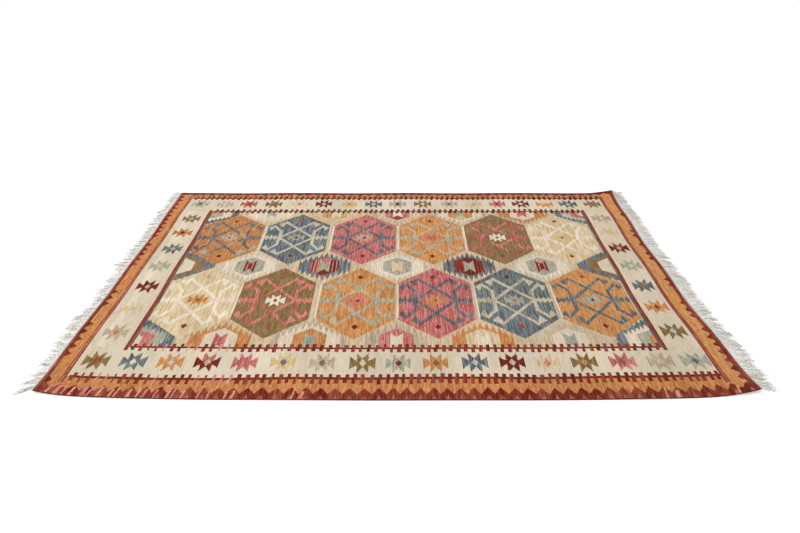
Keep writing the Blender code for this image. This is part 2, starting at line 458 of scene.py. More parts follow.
def lozenge(chart, centre, row):
    """A small hexagon with a spool in it, inside one or two saw-toothed rings."""
    chart.change_lot()
    if row.halo:
        chart.shape(around(centre, serrated(*HALO)), row.halo)
    if row.ring:
        chart.shape(around(centre, serrated(*RING)), row.ring)
    chart.shape(around(centre, hexagon(*CORE)), row.core)
    if row.sides:
        striped_side(chart, centre, -1, *row.sides)
        striped_side(chart, centre, 1, *reversed(row.sides))
    for turn, cap in ((1, row.top), (-1, row.bottom)):
        if cap:
            chart.shape(around(centre, CAP, 1.0, turn), cap)
    spool(chart, centre, row.spool, row.stripe)


# Combs: runs of even cells, each with a tick. The weaver's spacing drifts along the rug.
CellRun = namedtuple("CellRun", "start end cells")
FRONT_CELLS = (CellRun(-1.3745, -0.0075, 39), CellRun(-0.0075, 1.264, 39), CellRun(1.264, 1.377, 4))
FRONT_INNER_CELLS = (CellRun(-1.192, -0.0245, 33), CellRun(-0.0245, 1.206, 37))
BACK_INNER_CELLS = (CellRun(-1.187, 1.206, 69),)
BACK_CELLS = (CellRun(-1.371, 0.016, 39), CellRun(0.016, 1.377, 39))
FRONT_TEETH = (CellRun(-1.475, -0.0285, 24), CellRun(-0.0285, 1.475, 27))
BACK_TEETH = (CellRun(-1.475, -0.036, 24), CellRun(-0.036, 1.475, 26))
# How far the front comb strays from its level: (place along u, stray along v)
FRONT_STRAY = ((-1.40, -0.006), (-1.05, -0.009), (-0.70, -0.007), (-0.40, 0.0), (0.40, 0.001), (1.40, 0.003))
NO_STRAY = ((-1.40, 0.0), (1.40, 0.0))
COMB_LINE = 0.0125
COMB_YARN = "madder"
INNER_PALE = ((-1.12, -1.03), (-0.95, -0.87), (-0.80, -0.73), (-0.51, -0.49))
FRONT_PALE = ((-1.34, -1.31), (-1.27, -1.17), (-1.05, -1.00), (-0.90, -0.88), (-0.85, -0.68))
TICK_YARNS = ("madder", "russet", "madder", "russet", "rosewood")
BACK_TICK_YARNS = ("maroon", "oxblood", "maroon", "madder")
PALE_TICK_YARNS = ("blush", "rosewood", "blush", "rose")
TICK_HALF = 0.0082
PALE_TICK_HALF = 0.0048
TICK_WIDTH_UNEVENNESS = 0.0015
TICK_SWAY = 0.0020
TICK_LEAN = 0.0025
TICK_TOP_UNEVENNESS = 0.003
TICK_FOOT_UNEVENNESS = 0.004
TICK_ROW = 0.0035


def cells(runs):
    """The ends of every cell of these runs, from left to right."""
    for run in runs:
        size = (run.end - run.start) / run.cells
        for number in range(run.cells):
            yield run.start + size * number, run.start + size * (number + 1)


def strayed(level, u, stray):
    """The level of a comb line at a place along it, in whole wefts."""
    off = float(np.interp(u, [p[0] for p in stray], [p[1] for p in stray]))
    return level + WEFT_STEP * round(off / WEFT_STEP)


def band_to_comb(chart, runs, far, level, stray, yarn):
    """A band over the whole length, from its far side to a comb line, whose strays it follows."""
    edge = [(-HALF_LENGTH, strayed(level, -HALF_LENGTH, stray))]
    for left, right in cells(runs):
        here = strayed(level, (left + right) / 2, stray)
        edge += [(left, here), (right, here)]
    edge.append((HALF_LENGTH, strayed(level, HALF_LENGTH, stray)))
    stepped = [edge[0]]
    for point in edge[1:]:
        if all(abs(a - b) > NO_LENGTH for a, b in zip(point, stepped[-1])):
            stepped.append((point[0], stepped[-1][1]))
        stepped.append(point)
    chart.add([(HALF_LENGTH, far), (-HALF_LENGTH, far), *stepped], yarn)


def comb(chart, runs, level, up, down, yarns=TICK_YARNS, stray=NO_STRAY, pale=()):
    """A line along u with a short slanting tick in each cell. Ticks in the pale runs are thin and pale."""
    for left, right in cells(runs):
        chart.change_lot()
        here = strayed(level, (left + right) / 2, stray)
        chart.block(left, here - COMB_LINE / 2, right, here + COMB_LINE / 2, COMB_YARN)
        middle = (left + right) / 2 + chart.jitter(TICK_SWAY)
        faded = any(low < middle < high for low, high in pale)
        yarn = chart.draw.choice(PALE_TICK_YARNS if faded else yarns)
        half = (PALE_TICK_HALF if faded else TICK_HALF) + chart.jitter(TICK_WIDTH_UNEVENNESS)
        lean = TICK_LEAN + chart.jitter(TICK_SWAY)
        top = here + up + chart.jitter(TICK_TOP_UNEVENNESS)
        foot = here - down + chart.jitter(TICK_FOOT_UNEVENNESS)
        chart.shape(corners_of(middle - half + lean, here, middle + half + lean, top), yarn, TICK_ROW)
        chart.shape(corners_of(middle - half - lean, foot, middle + half - lean, here), yarn, TICK_ROW)


TOOTH_SWAY = 0.002
TOOTH_UNEVENNESS = 0.003
HEART_SHORTER = 0.10  # of the solid strip's width
END_TOOTH_HALF = 0.021
END_TOOTH_YARNS = {"#": "madder", "o": "rosewood"}


def saw_edge(chart, runs, edge, base, tip, yarns, heart=None):
    """The saw-toothed strip along a long edge: solid up to the base, teeth from the base to the tip."""
    for left, right in cells(runs):
        own = chart.draw.choice(yarns)
        chart.change_lot()
        middle, reach = (left + right) / 2 + chart.jitter(TOOTH_SWAY), tip + chart.jitter(TOOTH_UNEVENNESS)
        outline = [(left, edge), (right, edge), (right, base), (middle, reach), (left, base)]
        chart.shape(outline, own, TICK_ROW)
        if heart:
            quarter, low = (right - left) / 4, base + (edge - base) * HEART_SHORTER
            chart.shape([(middle - quarter, edge), (middle + quarter, edge), (middle, low)], heart, TICK_ROW)


def end_teeth(chart, base, tip, pattern, top, pitch):
    """Small triangles that point inwards along an end. The pattern has a letter for each, from the back."""
    for number, letter in enumerate(pattern):
        if letter in END_TOOTH_YARNS:
            middle = top - number * pitch + chart.jitter(TOOTH_UNEVENNESS)
            half = END_TOOTH_HALF + chart.jitter(TOOTH_SWAY)
            reach = tip + chart.jitter(TOOTH_UNEVENNESS)
            chart.shape([(base, middle - half), (reach, middle), (base, middle + half)],
                        END_TOOTH_YARNS[letter], TICK_ROW)


MedallionRow = namedtuple(
    "MedallionRow", "row place ground hooks other star heart top bottom shade", defaults=(None,))
MEDALLIONS = (
    MedallionRow(0, -1.000, "amber", "slate", "sage", "sage", "henna", "russet", "madder"),
    MedallionRow(0, -0.598, "denim", "linen", "mist", "sage", "madder", "cedar", "madder", "slate"),
    MedallionRow(0, -0.188, "raspberry", "slate", "denim", "greige", "madder", "crimson", "madder"),
    MedallionRow(0, 0.214, "apricot", "sage", "greige", "rose", "raspberry", "madder", "madder"),
    MedallionRow(0, 0.613, "walnut", "cedar", "rose", "bone", "umber", "henna", "henna"),
    MedallionRow(0, 1.002, "sand", "bone", "chalk", "wheat", "henna", "henna", "henna"),
    MedallionRow(1, -1.000, "sand", "bone", "chalk", "apricot", "henna", "greige", "madder"),
    MedallionRow(1, -0.605, "olive", "rose", "cedar", "bone", "rosewood", "henna", "henna"),
    MedallionRow(1, -0.188, "apricot", "sage", "greige", "rose", "madder", "madder", "madder"),
    MedallionRow(1, 0.206, "raspberry", "slate", "denim", "apricot", "henna", "madder", "madder"),
    MedallionRow(1, 0.606, "denim", "linen", "greige", "sage", "cedar", "madder", "henna", "slate"),
    MedallionRow(1, 1.005, "copper", "denim", "slate", "sage", "madder", "henna", "madder"),
)

LozengeRow = namedtuple(
    "LozengeRow", "row place halo ring core top bottom spool stripe sides", defaults=(None, None))
LOZENGES = (
    LozengeRow(0, -0.800, "oat", "chalk", "chalk", None, None, "sage"),
    LozengeRow(0, -0.386, "wheat", "oat", "wheat", None, "wheat", "chalk", None, ("gold", "wheat")),
    LozengeRow(0, 0.011, "greige", "oat", "raspberry", None, "rosewood", "chalk"),
    LozengeRow(0, 0.414, "greige", "chalk", "apricot", None, "wheat", "sage"),
    LozengeRow(0, 0.812, "greige", "gold", "chalk", None, None, "raspberry"),
    LozengeRow(1, -0.804, "linen", "chalk", "sage", None, None, "madder", "rose"),
    LozengeRow(1, -0.390, "oat", "denim", "madder", "rose", "madder", "sage", None, ("rose", "madder")),
    LozengeRow(1, 0.012, "linen", "chalk", "sage", None, None, "peach"),
    LozengeRow(1, 0.409, "oat", "slate", "madder", "madder", "madder", "sage", None, ("crimson", "madder")),
    LozengeRow(1, 0.812, "linen", "chalk", "sage", "greige", None, "madder", "rose"),
    LozengeRow(2, -0.804, "oat", "gold", "chalk", None, None, "raspberry"),
    LozengeRow(2, -0.390, "greige", "chalk", "apricot", "apricot", None, "sage"),
    LozengeRow(2, 0.012, "oat", "greige", "raspberry", "rose", None, "chalk"),
    LozengeRow(2, 0.410, "oat", "gold", "oat", None, None, "chalk"),
    LozengeRow(2, 0.812, "linen", "oat", "chalk", None, None, "sage"),
)

SideLozenge = namedtuple("SideLozenge", "row end outer middle core heart")
SIDE_LOZENGES = (
    SideLozenge(0, -1, "slate", "chalk", "sage", "apricot"),
    SideLozenge(0, 1, "denim", "mist", "raspberry", "chalk"),
    SideLozenge(1, -1, "denim", "umber", "ivory", "sand"),
    SideLozenge(1, 1, "denim", "umber", "ivory", "sand"),
    SideLozenge(2, -1, "denim", "sage", "raspberry", "chalk"),
    SideLozenge(2, 1, "denim", "chalk", "sage", "apricot"),
)

# Border stars: the place is along u for the long rows, along v for the short ones
StarRow = namedtuple("StarRow", "place yarn heart ears", defaults=(None,))
FRONT_STARS = (
    StarRow(-1.304, "olive", "henna"), StarRow(-1.142, "denim", "ivory", "slate"),
    StarRow(-0.976, "apricot", "mist"), StarRow(-0.816, "madder", "greige", "cedar"),
    StarRow(-0.654, "raspberry", "rose"), StarRow(-0.484, "wheat", "denim"),
    StarRow(-0.312, "greige", "umber"), StarRow(-0.136, "olive", "ivory"),
    StarRow(0.020, "sage", "madder"), StarRow(0.184, "apricot", "umber"),
    StarRow(0.355, "denim", "mist", "slate"), StarRow(0.519, "madder", "mist"),
    StarRow(0.671, "sand", "rose"), StarRow(0.835, "olive", "apricot"),
    StarRow(1.004, "raspberry", "olive"), StarRow(1.165, "greige", "sand"),
    StarRow(1.314, "sage", "slate"),
)
BACK_STARS = (
    StarRow(-1.304, "sage", "spruce"), StarRow(-1.140, "greige", "sand"),
    StarRow(-0.984, "cedar", "rosewood"), StarRow(-0.816, "olive", "umber"),
    StarRow(-0.645, "sand", "rose"), StarRow(-0.482, "madder", "mist"),
    StarRow(-0.312, "wheat", "apricot"), StarRow(-0.150, "spruce", "mist"),
    StarRow(0.010, "sage", "madder"), StarRow(0.178, "olive", "ivory"),
    StarRow(0.354, "greige", "umber"), StarRow(0.520, "sand", "sage"),
    StarRow(0.676, "raspberry", "crimson"), StarRow(0.834, "maroon", "ivory"),
    StarRow(0.995, "apricot", "greige", "peach"), StarRow(1.150, "spruce", "mist"),
    StarRow(1.307, "umber", "olive"),
)
LEFT_STARS = (
    StarRow(0.598, "olive", "greige"), StarRow(0.405, "amber", "madder"),
    StarRow(0.205, "spruce", "greige"), StarRow(0.010, "sage", "wheat"),
    StarRow(-0.198, "madder", "greige"), StarRow(-0.400, "sand", "mist"),
    StarRow(-0.592, "greige", "gold"),
)
RIGHT_STARS = (
    StarRow(0.602, "greige", "sand"), StarRow(0.412, "sand", "wheat"),
    StarRow(0.215, "madder", "greige", "rosewood"), StarRow(0.013, "sage", "sand"),
    StarRow(-0.190, "slate", "olive", "denim"), StarRow(-0.385, "apricot", "henna"),
    StarRow(-0.584, "olive", "mist"),
)
LEFT_STAR_U = -1.298
RIGHT_STAR_U = 1.305
FRONT_STAR_V = -0.7990
BACK_STAR_V = 0.8175

# Lozenges against the ends of the field, from the outside inwards
END_HALF = (Saw(0.200, 0.160, 0.050, 7, 0.008), Saw(0.142, 0.120, 0.042, 5, 0.006),
            Hexagon(0.080, 0.094, 0.040), Hexagon(0.022, 0.050, 0.036))
CORNER_QUARTER = (Saw(0.186, 0.166, 0.050, 7, 0.008), Saw(0.138, 0.118, 0.050, 6, 0.014),
                  Hexagon(0.084, 0.080, 0.044), Hexagon(0.034, 0.048, 0.026))
# The strip between two neighbouring medallions, from its middle
STRIP_HALF = 0.008
STRIP_LINE = 0.003  # its darker line starts this far to the left of its middle
STRIP_SHORTER = 0.012  # than a medallion's straight side
ROW_SWAY = 0.002
COLUMN_SWAY = 0.003
FRONT_UNDERLAP = 0.020  # the border's ground goes under the front comb, which strays
LONG_ROW_BALLS = (0.05, 0.17)  # shortest and longest block that one ball of wool gives
SHORT_ROW_BALLS = (0.03, 0.09)

# A letter for each place along an end, from the back: # a dark triangle, o a faint one, a point none
LEFT_TEETH = "##########o.####o....###..#####..##"
RIGHT_TEETH = ".....#...##.#.##...#o..##o.###oo#o."


def chart_field(chart):
    """The middle of the rug: lozenges, then the medallions over their rings."""
    low_u, low_v, high_u, high_v = chart.window = FIELD
    chart.block(low_u, low_v, high_u, high_v, "oat")
    for row in LOZENGES:
        lozenge(chart, (row.place, LOZENGE_ROWS[row.row]), row)
    for row in SIDE_LOZENGES:
        side_lozenge(chart, row)
    for row in MEDALLIONS:
        medallion(chart, (row.place, MEDALLION_ROWS[row.row] + chart.jitter(ROW_SWAY)), row)
    for row in LOZENGES:
        if row.row != 1:
            gap_between(chart, row.place, MEDALLION_ROWS[row.row // 2])
    chart.window = chart.cloth


def gap_between(chart, u, v):
    """The narrow upright strip between two neighbouring medallions, with a darker line in it."""
    reach = MEDALLION_SHOULDER - STRIP_SHORTER
    chart.block(u - STRIP_HALF, v - reach, u + STRIP_HALF, v + reach, "chalk")
    chart.block(u - STRIP_HALF, v - reach, u - STRIP_LINE, v + reach, "greige")


def side_lozenge(chart, row):
    """Half a large lozenge against the field's end, or a quarter of it in a corner."""
    chart.change_lot()
    centre = (FIELD[0] if row.end < 0 else FIELD[2], LOZENGE_ROWS[row.row])
    outer, middle, core, heart = END_HALF if row.row == 1 else CORNER_QUARTER
    chart.shape(around(centre, serrated(*outer)), row.outer)
    chart.shape(around(centre, serrated(*middle)), row.middle)
    chart.shape(around(centre, hexagon(*core)), row.core)
    chart.shape(around(centre, hexagon(*heart)), row.heart)


IVORY_BALLS = ("ivory", "ivory", "cream", "pearl")  # each ball of wool differs a little


def ivory_ground(chart, low_u, low_v, high_u, high_v, balls):
    """Ground of the star border, in blocks along u."""
    u = low_u
    while u < high_u:
        chart.change_lot()
        end = min(u + chart.draw.uniform(*balls), high_u)
        chart.block(u, low_v, end, high_v, chart.draw.choice(IVORY_BALLS))
        u = end


def chart_star_borders(chart):
    """The cream border round the field, with its stars."""
    low_u, low_v, high_u, high_v = FIELD
    start, stop = OUTER_LOW_U - UNDERLAP, OUTER_HIGH_U + UNDERLAP
    ivory_ground(chart, start, FRONT_COMB - FRONT_UNDERLAP, stop, low_v, LONG_ROW_BALLS)
    ivory_ground(chart, start, high_v, stop, BACK_COMB, LONG_ROW_BALLS)
    ivory_ground(chart, start, low_v, low_u, high_v, SHORT_ROW_BALLS)
    ivory_ground(chart, high_u, low_v, stop, high_v, SHORT_ROW_BALLS)
    for level, rows in ((FRONT_STAR_V, FRONT_STARS), (BACK_STAR_V, BACK_STARS)):
        for row in rows:
            place = (row.place, level + chart.jitter(ROW_SWAY))
            star(chart, place, row.yarn, row.heart, 1.0, row.ears)
    for column, rows in ((LEFT_STAR_U, LEFT_STARS), (RIGHT_STAR_U, RIGHT_STARS)):
        for row in rows:
            place = (column + chart.jitter(COLUMN_SWAY), row.place)
            star(chart, place, row.yarn, row.heart, 1.0, row.ears)


# The lines that close the field at its ends
FIELD_LINE = 0.009  # inside the field
CLOSING_LINE = 0.018  # outside it
CLOSING_SHADE = 0.007
CLOSING_FOOT = 0.024  # how far they run past the combs
CLOSING_HEAD = 0.018


def chart_inner_lines(chart):
    """The comb-edged lines and the upright lines that close the field."""
    low_u, low_v, high_u, high_v = FIELD
    chart.block(low_u, low_v, low_u + FIELD_LINE, high_v, "slate")
    chart.block(high_u - FIELD_LINE, low_v, high_u, high_v, "slate")
    foot, head = low_v - CLOSING_FOOT, high_v + CLOSING_HEAD
    for width, yarn in ((CLOSING_LINE, "russet"), (CLOSING_SHADE, "rosewood")):
        chart.block(low_u - width, foot, low_u, head, yarn)
        chart.block(high_u, foot, high_u + width, head, yarn)
    comb(chart, FRONT_INNER_CELLS, low_v, up=0.027, down=0.026, pale=INNER_PALE)
    comb(chart, BACK_INNER_CELLS, high_v, up=0.030, down=0.028, yarns=BACK_TICK_YARNS)


# The outer upright lines, outwards from the star border
SIDE_LINE = (-0.002, 0.017)
SIDE_LINE_MIDDLE = (0.006, 0.011)
SIDE_LINE_FOOT = 0.040  # how far they run past the combs
SIDE_LINE_HEAD = 0.020
FRONT_TOOTH_YARNS = ("brick", "madder", "russet")
BACK_TOOTH_YARNS = ("maroon", "madder", "maroon")
# the dark strip along each long edge: a selvedge of dark wool, made darker as painted shade where the edge
# turns down to the floor
SELVEDGE_AND_EDGE_SHADE_V = 0.9965
LEFT_END_U = -1.4560
LEFT_END_LINE = (-1.4640, -1.4560)
RIGHT_END_U = 1.4530
RIGHT_END_LINE = (1.4540, 1.4620)


def side_line(chart, side, edge, middle):
    """A dark red line with a faded middle, beside one end of the star border."""
    low, high = FRONT_COMB - SIDE_LINE_FOOT, BACK_COMB + SIDE_LINE_HEAD
    for (near, far), yarn in ((SIDE_LINE, "rosewood"), (SIDE_LINE_MIDDLE, middle)):
        start, end = sorted((edge + side * near, edge + side * far))
        chart.block(start, low, end, high, yarn)


def stripe_across(chart, low_u, high_u, yarn):
    """A stripe from the front edge to the back one."""
    chart.block(low_u, -HALF_WIDTH, high_u, HALF_WIDTH, yarn)


def stripe_along(chart, low_v, high_v, yarn):
    """A stripe from one end to the other."""
    chart.block(-HALF_LENGTH, low_v, HALF_LENGTH, high_v, yarn)


def chart_outer_bands(chart):
    """The orange band, its combs, the saw-toothed long edges and the striped ends."""
    band_to_comb(chart, FRONT_CELLS, -HALF_WIDTH, FRONT_COMB, FRONT_STRAY, "gold")
    band_to_comb(chart, BACK_CELLS, HALF_WIDTH, BACK_COMB, NO_STRAY, "salmon")
    stripe_across(chart, -HALF_LENGTH, OUTER_LOW_U, "gold")
    stripe_across(chart, OUTER_HIGH_U, HALF_LENGTH, "copper")
    side_line(chart, -1, OUTER_LOW_U, "salmon")
    side_line(chart, 1, OUTER_HIGH_U, "faded")
    comb(chart, FRONT_CELLS, FRONT_COMB, up=0.023, down=0.026, stray=FRONT_STRAY, pale=FRONT_PALE)
    comb(chart, BACK_CELLS, BACK_COMB, up=0.036, down=0.020, yarns=BACK_TICK_YARNS)
    saw_edge(chart, FRONT_TEETH, -HALF_WIDTH, base=-0.970, tip=-0.940, yarns=FRONT_TOOTH_YARNS, heart="faded")
    saw_edge(chart, BACK_TEETH, HALF_WIDTH, base=0.972, tip=0.951, yarns=BACK_TOOTH_YARNS)
    # dark selvedge strips: partly dark wool, partly painted shade of the edge and its contact shadow
    stripe_along(chart, -HALF_WIDTH, -SELVEDGE_AND_EDGE_SHADE_V, "oxblood")
    stripe_along(chart, SELVEDGE_AND_EDGE_SHADE_V, HALF_WIDTH, "oxblood")
    stripe_across(chart, -HALF_LENGTH, LEFT_END_U, "brick")
    stripe_across(chart, *LEFT_END_LINE, "madder")
    stripe_across(chart, RIGHT_END_U, HALF_LENGTH, "brick")
    stripe_across(chart, *RIGHT_END_LINE, "madder")
    end_teeth(chart, LEFT_END_U, tip=-1.432, pattern=LEFT_TEETH, top=0.923, pitch=0.0560)
    end_teeth(chart, RIGHT_END_U, tip=1.430, pattern=RIGHT_TEETH, top=0.928, pitch=0.0558)


# Pale bars in the front edge, towards the left corner: (place along u, width)
PALE_BARS = (
    (-1.428, 0.008), (-1.398, 0.017), (-1.362, 0.008), (-1.332, 0.009), (-1.288, 0.018), (-1.258, 0.009),
    (-1.216, 0.007), (-1.168, 0.010), (-1.146, 0.008), (-1.095, 0.011), (-1.056, 0.010), (-1.030, 0.007),
    (-0.985, 0.007), (-0.932, 0.009), (-0.912, 0.006), (-0.872, 0.007), (-0.806, 0.007), (-0.766, 0.007),
    (-0.695, 0.007), (-0.668, 0.009), (-0.420, 0.006), (-0.392, 0.018), (1.108, 0.006), (1.148, 0.014),
    (1.392, 0.009),
)
PALE_BAR_LEAN = 0.009  # to the right, over the bar's height
PALE_BAR_TOP = -0.952
PALE_BAR_UNEVENNESS = 0.008
PALE_BAR_YARNS = ("blush", "blush", "blush", "rose")


def pale_bars(chart):
    """Slanting bars of pale wool between the teeth of the front edge."""
    for place, width in PALE_BARS:
        top = PALE_BAR_TOP + chart.jitter(PALE_BAR_UNEVENNESS)
        yarn = chart.draw.choice(PALE_BAR_YARNS)
        foot = [(place, -HALF_WIDTH), (place + width, -HALF_WIDTH)]
        head = [(place + width + PALE_BAR_LEAN, top), (place + PALE_BAR_LEAN, top)]
        chart.shape(foot + head, yarn, TICK_ROW)
    # the dark front selvedge again over the bars: partly dark wool, partly painted shade of the edge
    stripe_along(chart, -HALF_WIDTH, -SELVEDGE_AND_EDGE_SHADE_V, "oxblood")


def draw_chart(row, seed, coarseness=1.0):
    """Every patch of the rug, in the order in which they cover each other."""
    chart = Chart(row, seed, coarseness)
    chart_field(chart)
    chart_star_borders(chart)
    chart_inner_lines(chart)
    chart_outer_bands(chart)
    pale_bars(chart)
    return chart


# ---------------------------------------------------------------- the cloth's mesh

LATTICE_CELL = 0.036  # free points keep the cloth able to bend inside large patches
RIM_STEP = 0.012
UNDERSIDE_COARSENESS = 3.5  # rows on the underside are this much larger than on the upper face
RIM_TURNS = 3  # faces round the cloth's edge
LONG_RIM_POINTS = round(PANEL_LENGTH / RIM_STEP)
SHORT_RIM_POINTS = round(PANEL_WIDTH / RIM_STEP)


def rim_points(box):
    """Points along the four sides of the cloth's flat face, once round."""
    low_u, low_v, high_u, high_v = box
    along = [low_u + (high_u - low_u) * i / LONG_RIM_POINTS for i in range(LONG_RIM_POINTS)]
    across = [low_v + (high_v - low_v) * i / SHORT_RIM_POINTS for i in range(SHORT_RIM_POINTS)]
    points = [(u, low_v) for u in along]
    points += [(high_u, v) for v in across]
    points += [(low_u + high_u - u, high_v) for u in along]
    points += [(low_u, low_v + high_v - v) for v in across]
    return points


LONG_EDGE = 0.020  # an edge longer than this stays in the net even where nothing changes across it
BESIDE = 0.0002  # distance from an edge at which its two sides are compared
COMPARED_AT = (0.15, 0.85)  # shares of the edge's length
BEND_STEP = 0.070  # a longer side gets further points at about this distance
SAME_POINT = 1e-5  # points nearer than this are joined
NO_AREA = 1e-10  # a triangle smaller than this is left out


def able_to_bend(outline):
    """The same outline with further points along its long sides, which follow the cloth's waves."""
    full = []
    for (u0, v0), (u1, v1) in zip(outline, outline[1:] + outline[:1]):
        pieces = max(1, round(math.hypot(u1 - u0, v1 - v0) / BEND_STEP))
        full += [(u0 + (u1 - u0) * i / pieces, v0 + (v1 - v0) * i / pieces) for i in range(pieces)]
    return full


def without_hidden_edges(chart, points, edges):
    """The edges that part two yarns somewhere. Long edges are all kept."""
    points, edges = np.array(points), np.array(edges)
    start, run = points[edges[:, 0]], points[edges[:, 1]] - points[edges[:, 0]]
    length = np.linalg.norm(run, axis=1)
    kinds = {}
    kind_of = np.array([kinds.setdefault((patch.yarn, patch.lot), len(kinds)) for patch in chart.patches])
    needed = length > LONG_EDGE
    across = np.stack((-run[:, 1], run[:, 0]), axis=1)
    beside = BESIDE * across / np.maximum(length, NO_LENGTH)[:, None]
    for share in COMPARED_AT:
        middle = start + run * share
        sides = [kind_of[covering_patch(chart, middle + way * beside)] for way in (-1, 1)]
        needed |= sides[0] != sides[1]
    used, renumbered = np.unique(edges[needed], return_inverse=True)
    return points[used].tolist(), renumbered.reshape(-1, 2).tolist()


def free_points(box):
    """A lattice of points inside the cloth, staggered from row to row."""
    low_u, low_v, high_u, high_v = box
    cells_u = round((high_u - low_u) / LATTICE_CELL)
    cells_v = round((high_v - low_v) / LATTICE_CELL)
    points = []
    for i in range(1, cells_u):
        for j in range(1, cells_v):
            along = i + 0.5 * (j % 2) if i < cells_u - 1 else i
            u = low_u + (high_u - low_u) * along / cells_u
            points.append((u, low_v + (high_v - low_v) * j / cells_v))
    return points


def net_of(chart, rim):
    """Triangles over the whole flat face whose edges follow every patch: points, triangles."""
    points, edges = [], []
    for patch in chart.patches:
        first = len(points)
        outline = able_to_bend(patch.outline)
        points += outline
        count = len(outline)
        edges += [(first + i, first + (i + 1) % count) for i in range(count)]
    points, edges = without_hidden_edges(chart, points, edges)
    points += free_points(chart.cloth) + rim
    made = delaunay_2d_cdt([Vector(p) for p in points], edges, [], 0, SAME_POINT, False)
    flat = np.array([(p.x, p.y) for p in made[0]])
    triangles = np.array(made[2], dtype=np.int64)
    a, b, c = (flat[triangles[:, i]] for i in range(3))
    area = (b[:, 0] - a[:, 0]) * (c[:, 1] - a[:, 1]) - (b[:, 1] - a[:, 1]) * (c[:, 0] - a[:, 0])
    return flat, triangles[np.abs(area) > NO_AREA]


def covering_patch(chart, middles):
    """For each flat position, the number of the last patch that covers it."""
    chosen = np.zeros(len(middles), dtype=np.int64)
    for number, patch in enumerate(chart.patches):
        corners = np.array(patch.outline)
        low, high = corners.min(axis=0), corners.max(axis=0)
        near = np.flatnonzero(((middles > low) & (middles < high)).all(axis=1))
        if not len(near):
            continue
        following = np.roll(corners, -1, axis=0)
        upright = np.abs(following[:, 1] - corners[:, 1]) > NO_LENGTH
        u = corners[upright, 0]
        v0 = np.minimum(corners[upright, 1], following[upright, 1])
        v1 = np.maximum(corners[upright, 1], following[upright, 1])
        p = middles[near]
        crossed = (u > p[:, :1]) & (v0 <= p[:, 1:]) & (v1 > p[:, 1:])
        chosen[near[crossed.sum(axis=1) % 2 == 1]] = number
    return chosen


Ripple = namedtuple("Ripple", "rate_u rate_v layer share")
DRIFT_U = (Ripple(3.1, 2.3, 4.7, 1.0), Ripple(9.0, 6.0, 1.2, 0.5))
DRIFT_V = (Ripple(3.7, 3.1, 9.1, 1.0), Ripple(8.0, 9.0, 6.4, 0.5))
SWELLINGS = (Ripple(14.0, 11.0, 2.2, 1.0), Ripple(34.0, 27.0, 7.7, 0.6))
DRIFT_MARGIN = 0.09  # the drift fades out this near to the cloth's edge
SWELLING_MARGIN = 0.03


def rippled(ripples, u, v):
    """Smooth unevenness at a flat position, in broad and narrow ripples."""
    return sum(r.share * noise.noise(Vector((u * r.rate_u, v * r.rate_v, r.layer))) for r in ripples)


def from_edge(u, v):
    """How far a flat position is from the cloth's nearest edge."""
    return min(HALF_LENGTH - abs(u), HALF_WIDTH - abs(v))


def drifted(u, v, reach):
    """A flat position moved as uneven hand weaving moves it. Nothing moves at the cloth's edge."""
    hold = reach * ease(from_edge(u, v) / DRIFT_MARGIN)
    return u + hold * rippled(DRIFT_U, u, v), v + hold * rippled(DRIFT_V, u, v)


def pucker(u, v, height):
    """Small swellings of a flat-woven cloth that isn't stretched."""
    return height * ease(from_edge(u, v) / SWELLING_MARGIN) * rippled(SWELLINGS, u, v)


def outward(point, box):
    """The direction away from the flat face at a point on its rim."""
    low_u, low_v, high_u, high_v = box
    u = float(same(point[0], high_u)) - float(same(point[0], low_u))
    v = float(same(point[1], high_v)) - float(same(point[1], low_v))
    return Vector((u, v)).normalized()


TENTHS = 1e4  # tenths of a millimetre in a metre


def rim_key(spot):
    """A point on the rim, to the tenth of a millimetre."""
    return round(spot[0] * TENTHS), round(spot[1] * TENTHS)


def rim_edges(triangles):
    """The edges of one triangle only, each from start to end round that triangle, with its number."""
    starts = triangles.ravel()
    ends = np.roll(triangles, -1, axis=1).ravel()
    owner = np.repeat(np.arange(len(triangles)), 3)
    size = triangles.max() + 1
    lone = ~np.isin(starts * size + ends, ends * size + starts)
    return list(zip(starts[lone].tolist(), ends[lone].tolist(), owner[lone].tolist()))


# Where each face of the cloth goes on the baked picture
BakePlace = namedtuple("BakePlace", "x y scale")
BAKED_ABOVE = BakePlace(0.002, 0.002, 0.996)
BAKED_BELOW = BakePlace(0.020, 0.705, 0.420)
BAKE_MARGIN = 0.02  # of the flat panel, for its round edge


def bake_places(flat, place):
    """Where flat positions go on the baked picture: the upper face large, the underside small above it."""
    span = PANEL_LENGTH + 2 * BAKE_MARGIN
    shared = (np.asarray(flat, dtype=np.float64) + (span / 2, HALF_WIDTH + BAKE_MARGIN)) / span
    return np.array((place.x, place.y)) + place.scale * shared


def laid(flat, settings, shift, swell):
    """The places of one face's points, laid down with their drift."""
    places = []
    for u, v in flat:
        place = lie(*drifted(u, v, settings.drift)) + shift
        if swell:
            place.z += PANEL_THICKNESS + pucker(u, v, settings.pucker)
        places.append(place)
    return places


def round_the_edge(spot, away, shift):
    """At one rim point, the places between both faces and the weave's flat positions on the way."""
    u, v = spot
    radius = PANEL_THICKNESS / 2
    places = []
    for turn in range(1, RIM_TURNS):
        angle = math.pi * (0.5 - turn / RIM_TURNS)
        reach = radius * math.cos(angle)
        place = lie(u + away.x * reach, v + away.y * reach) + shift
        place.z += radius + radius * math.sin(angle)
        places.append(place)
    runs = [math.pi * radius * turn / RIM_TURNS for turn in range(RIM_TURNS + 1)]
    return places, [(u + away.x * run, v + away.y * run) for run in runs]


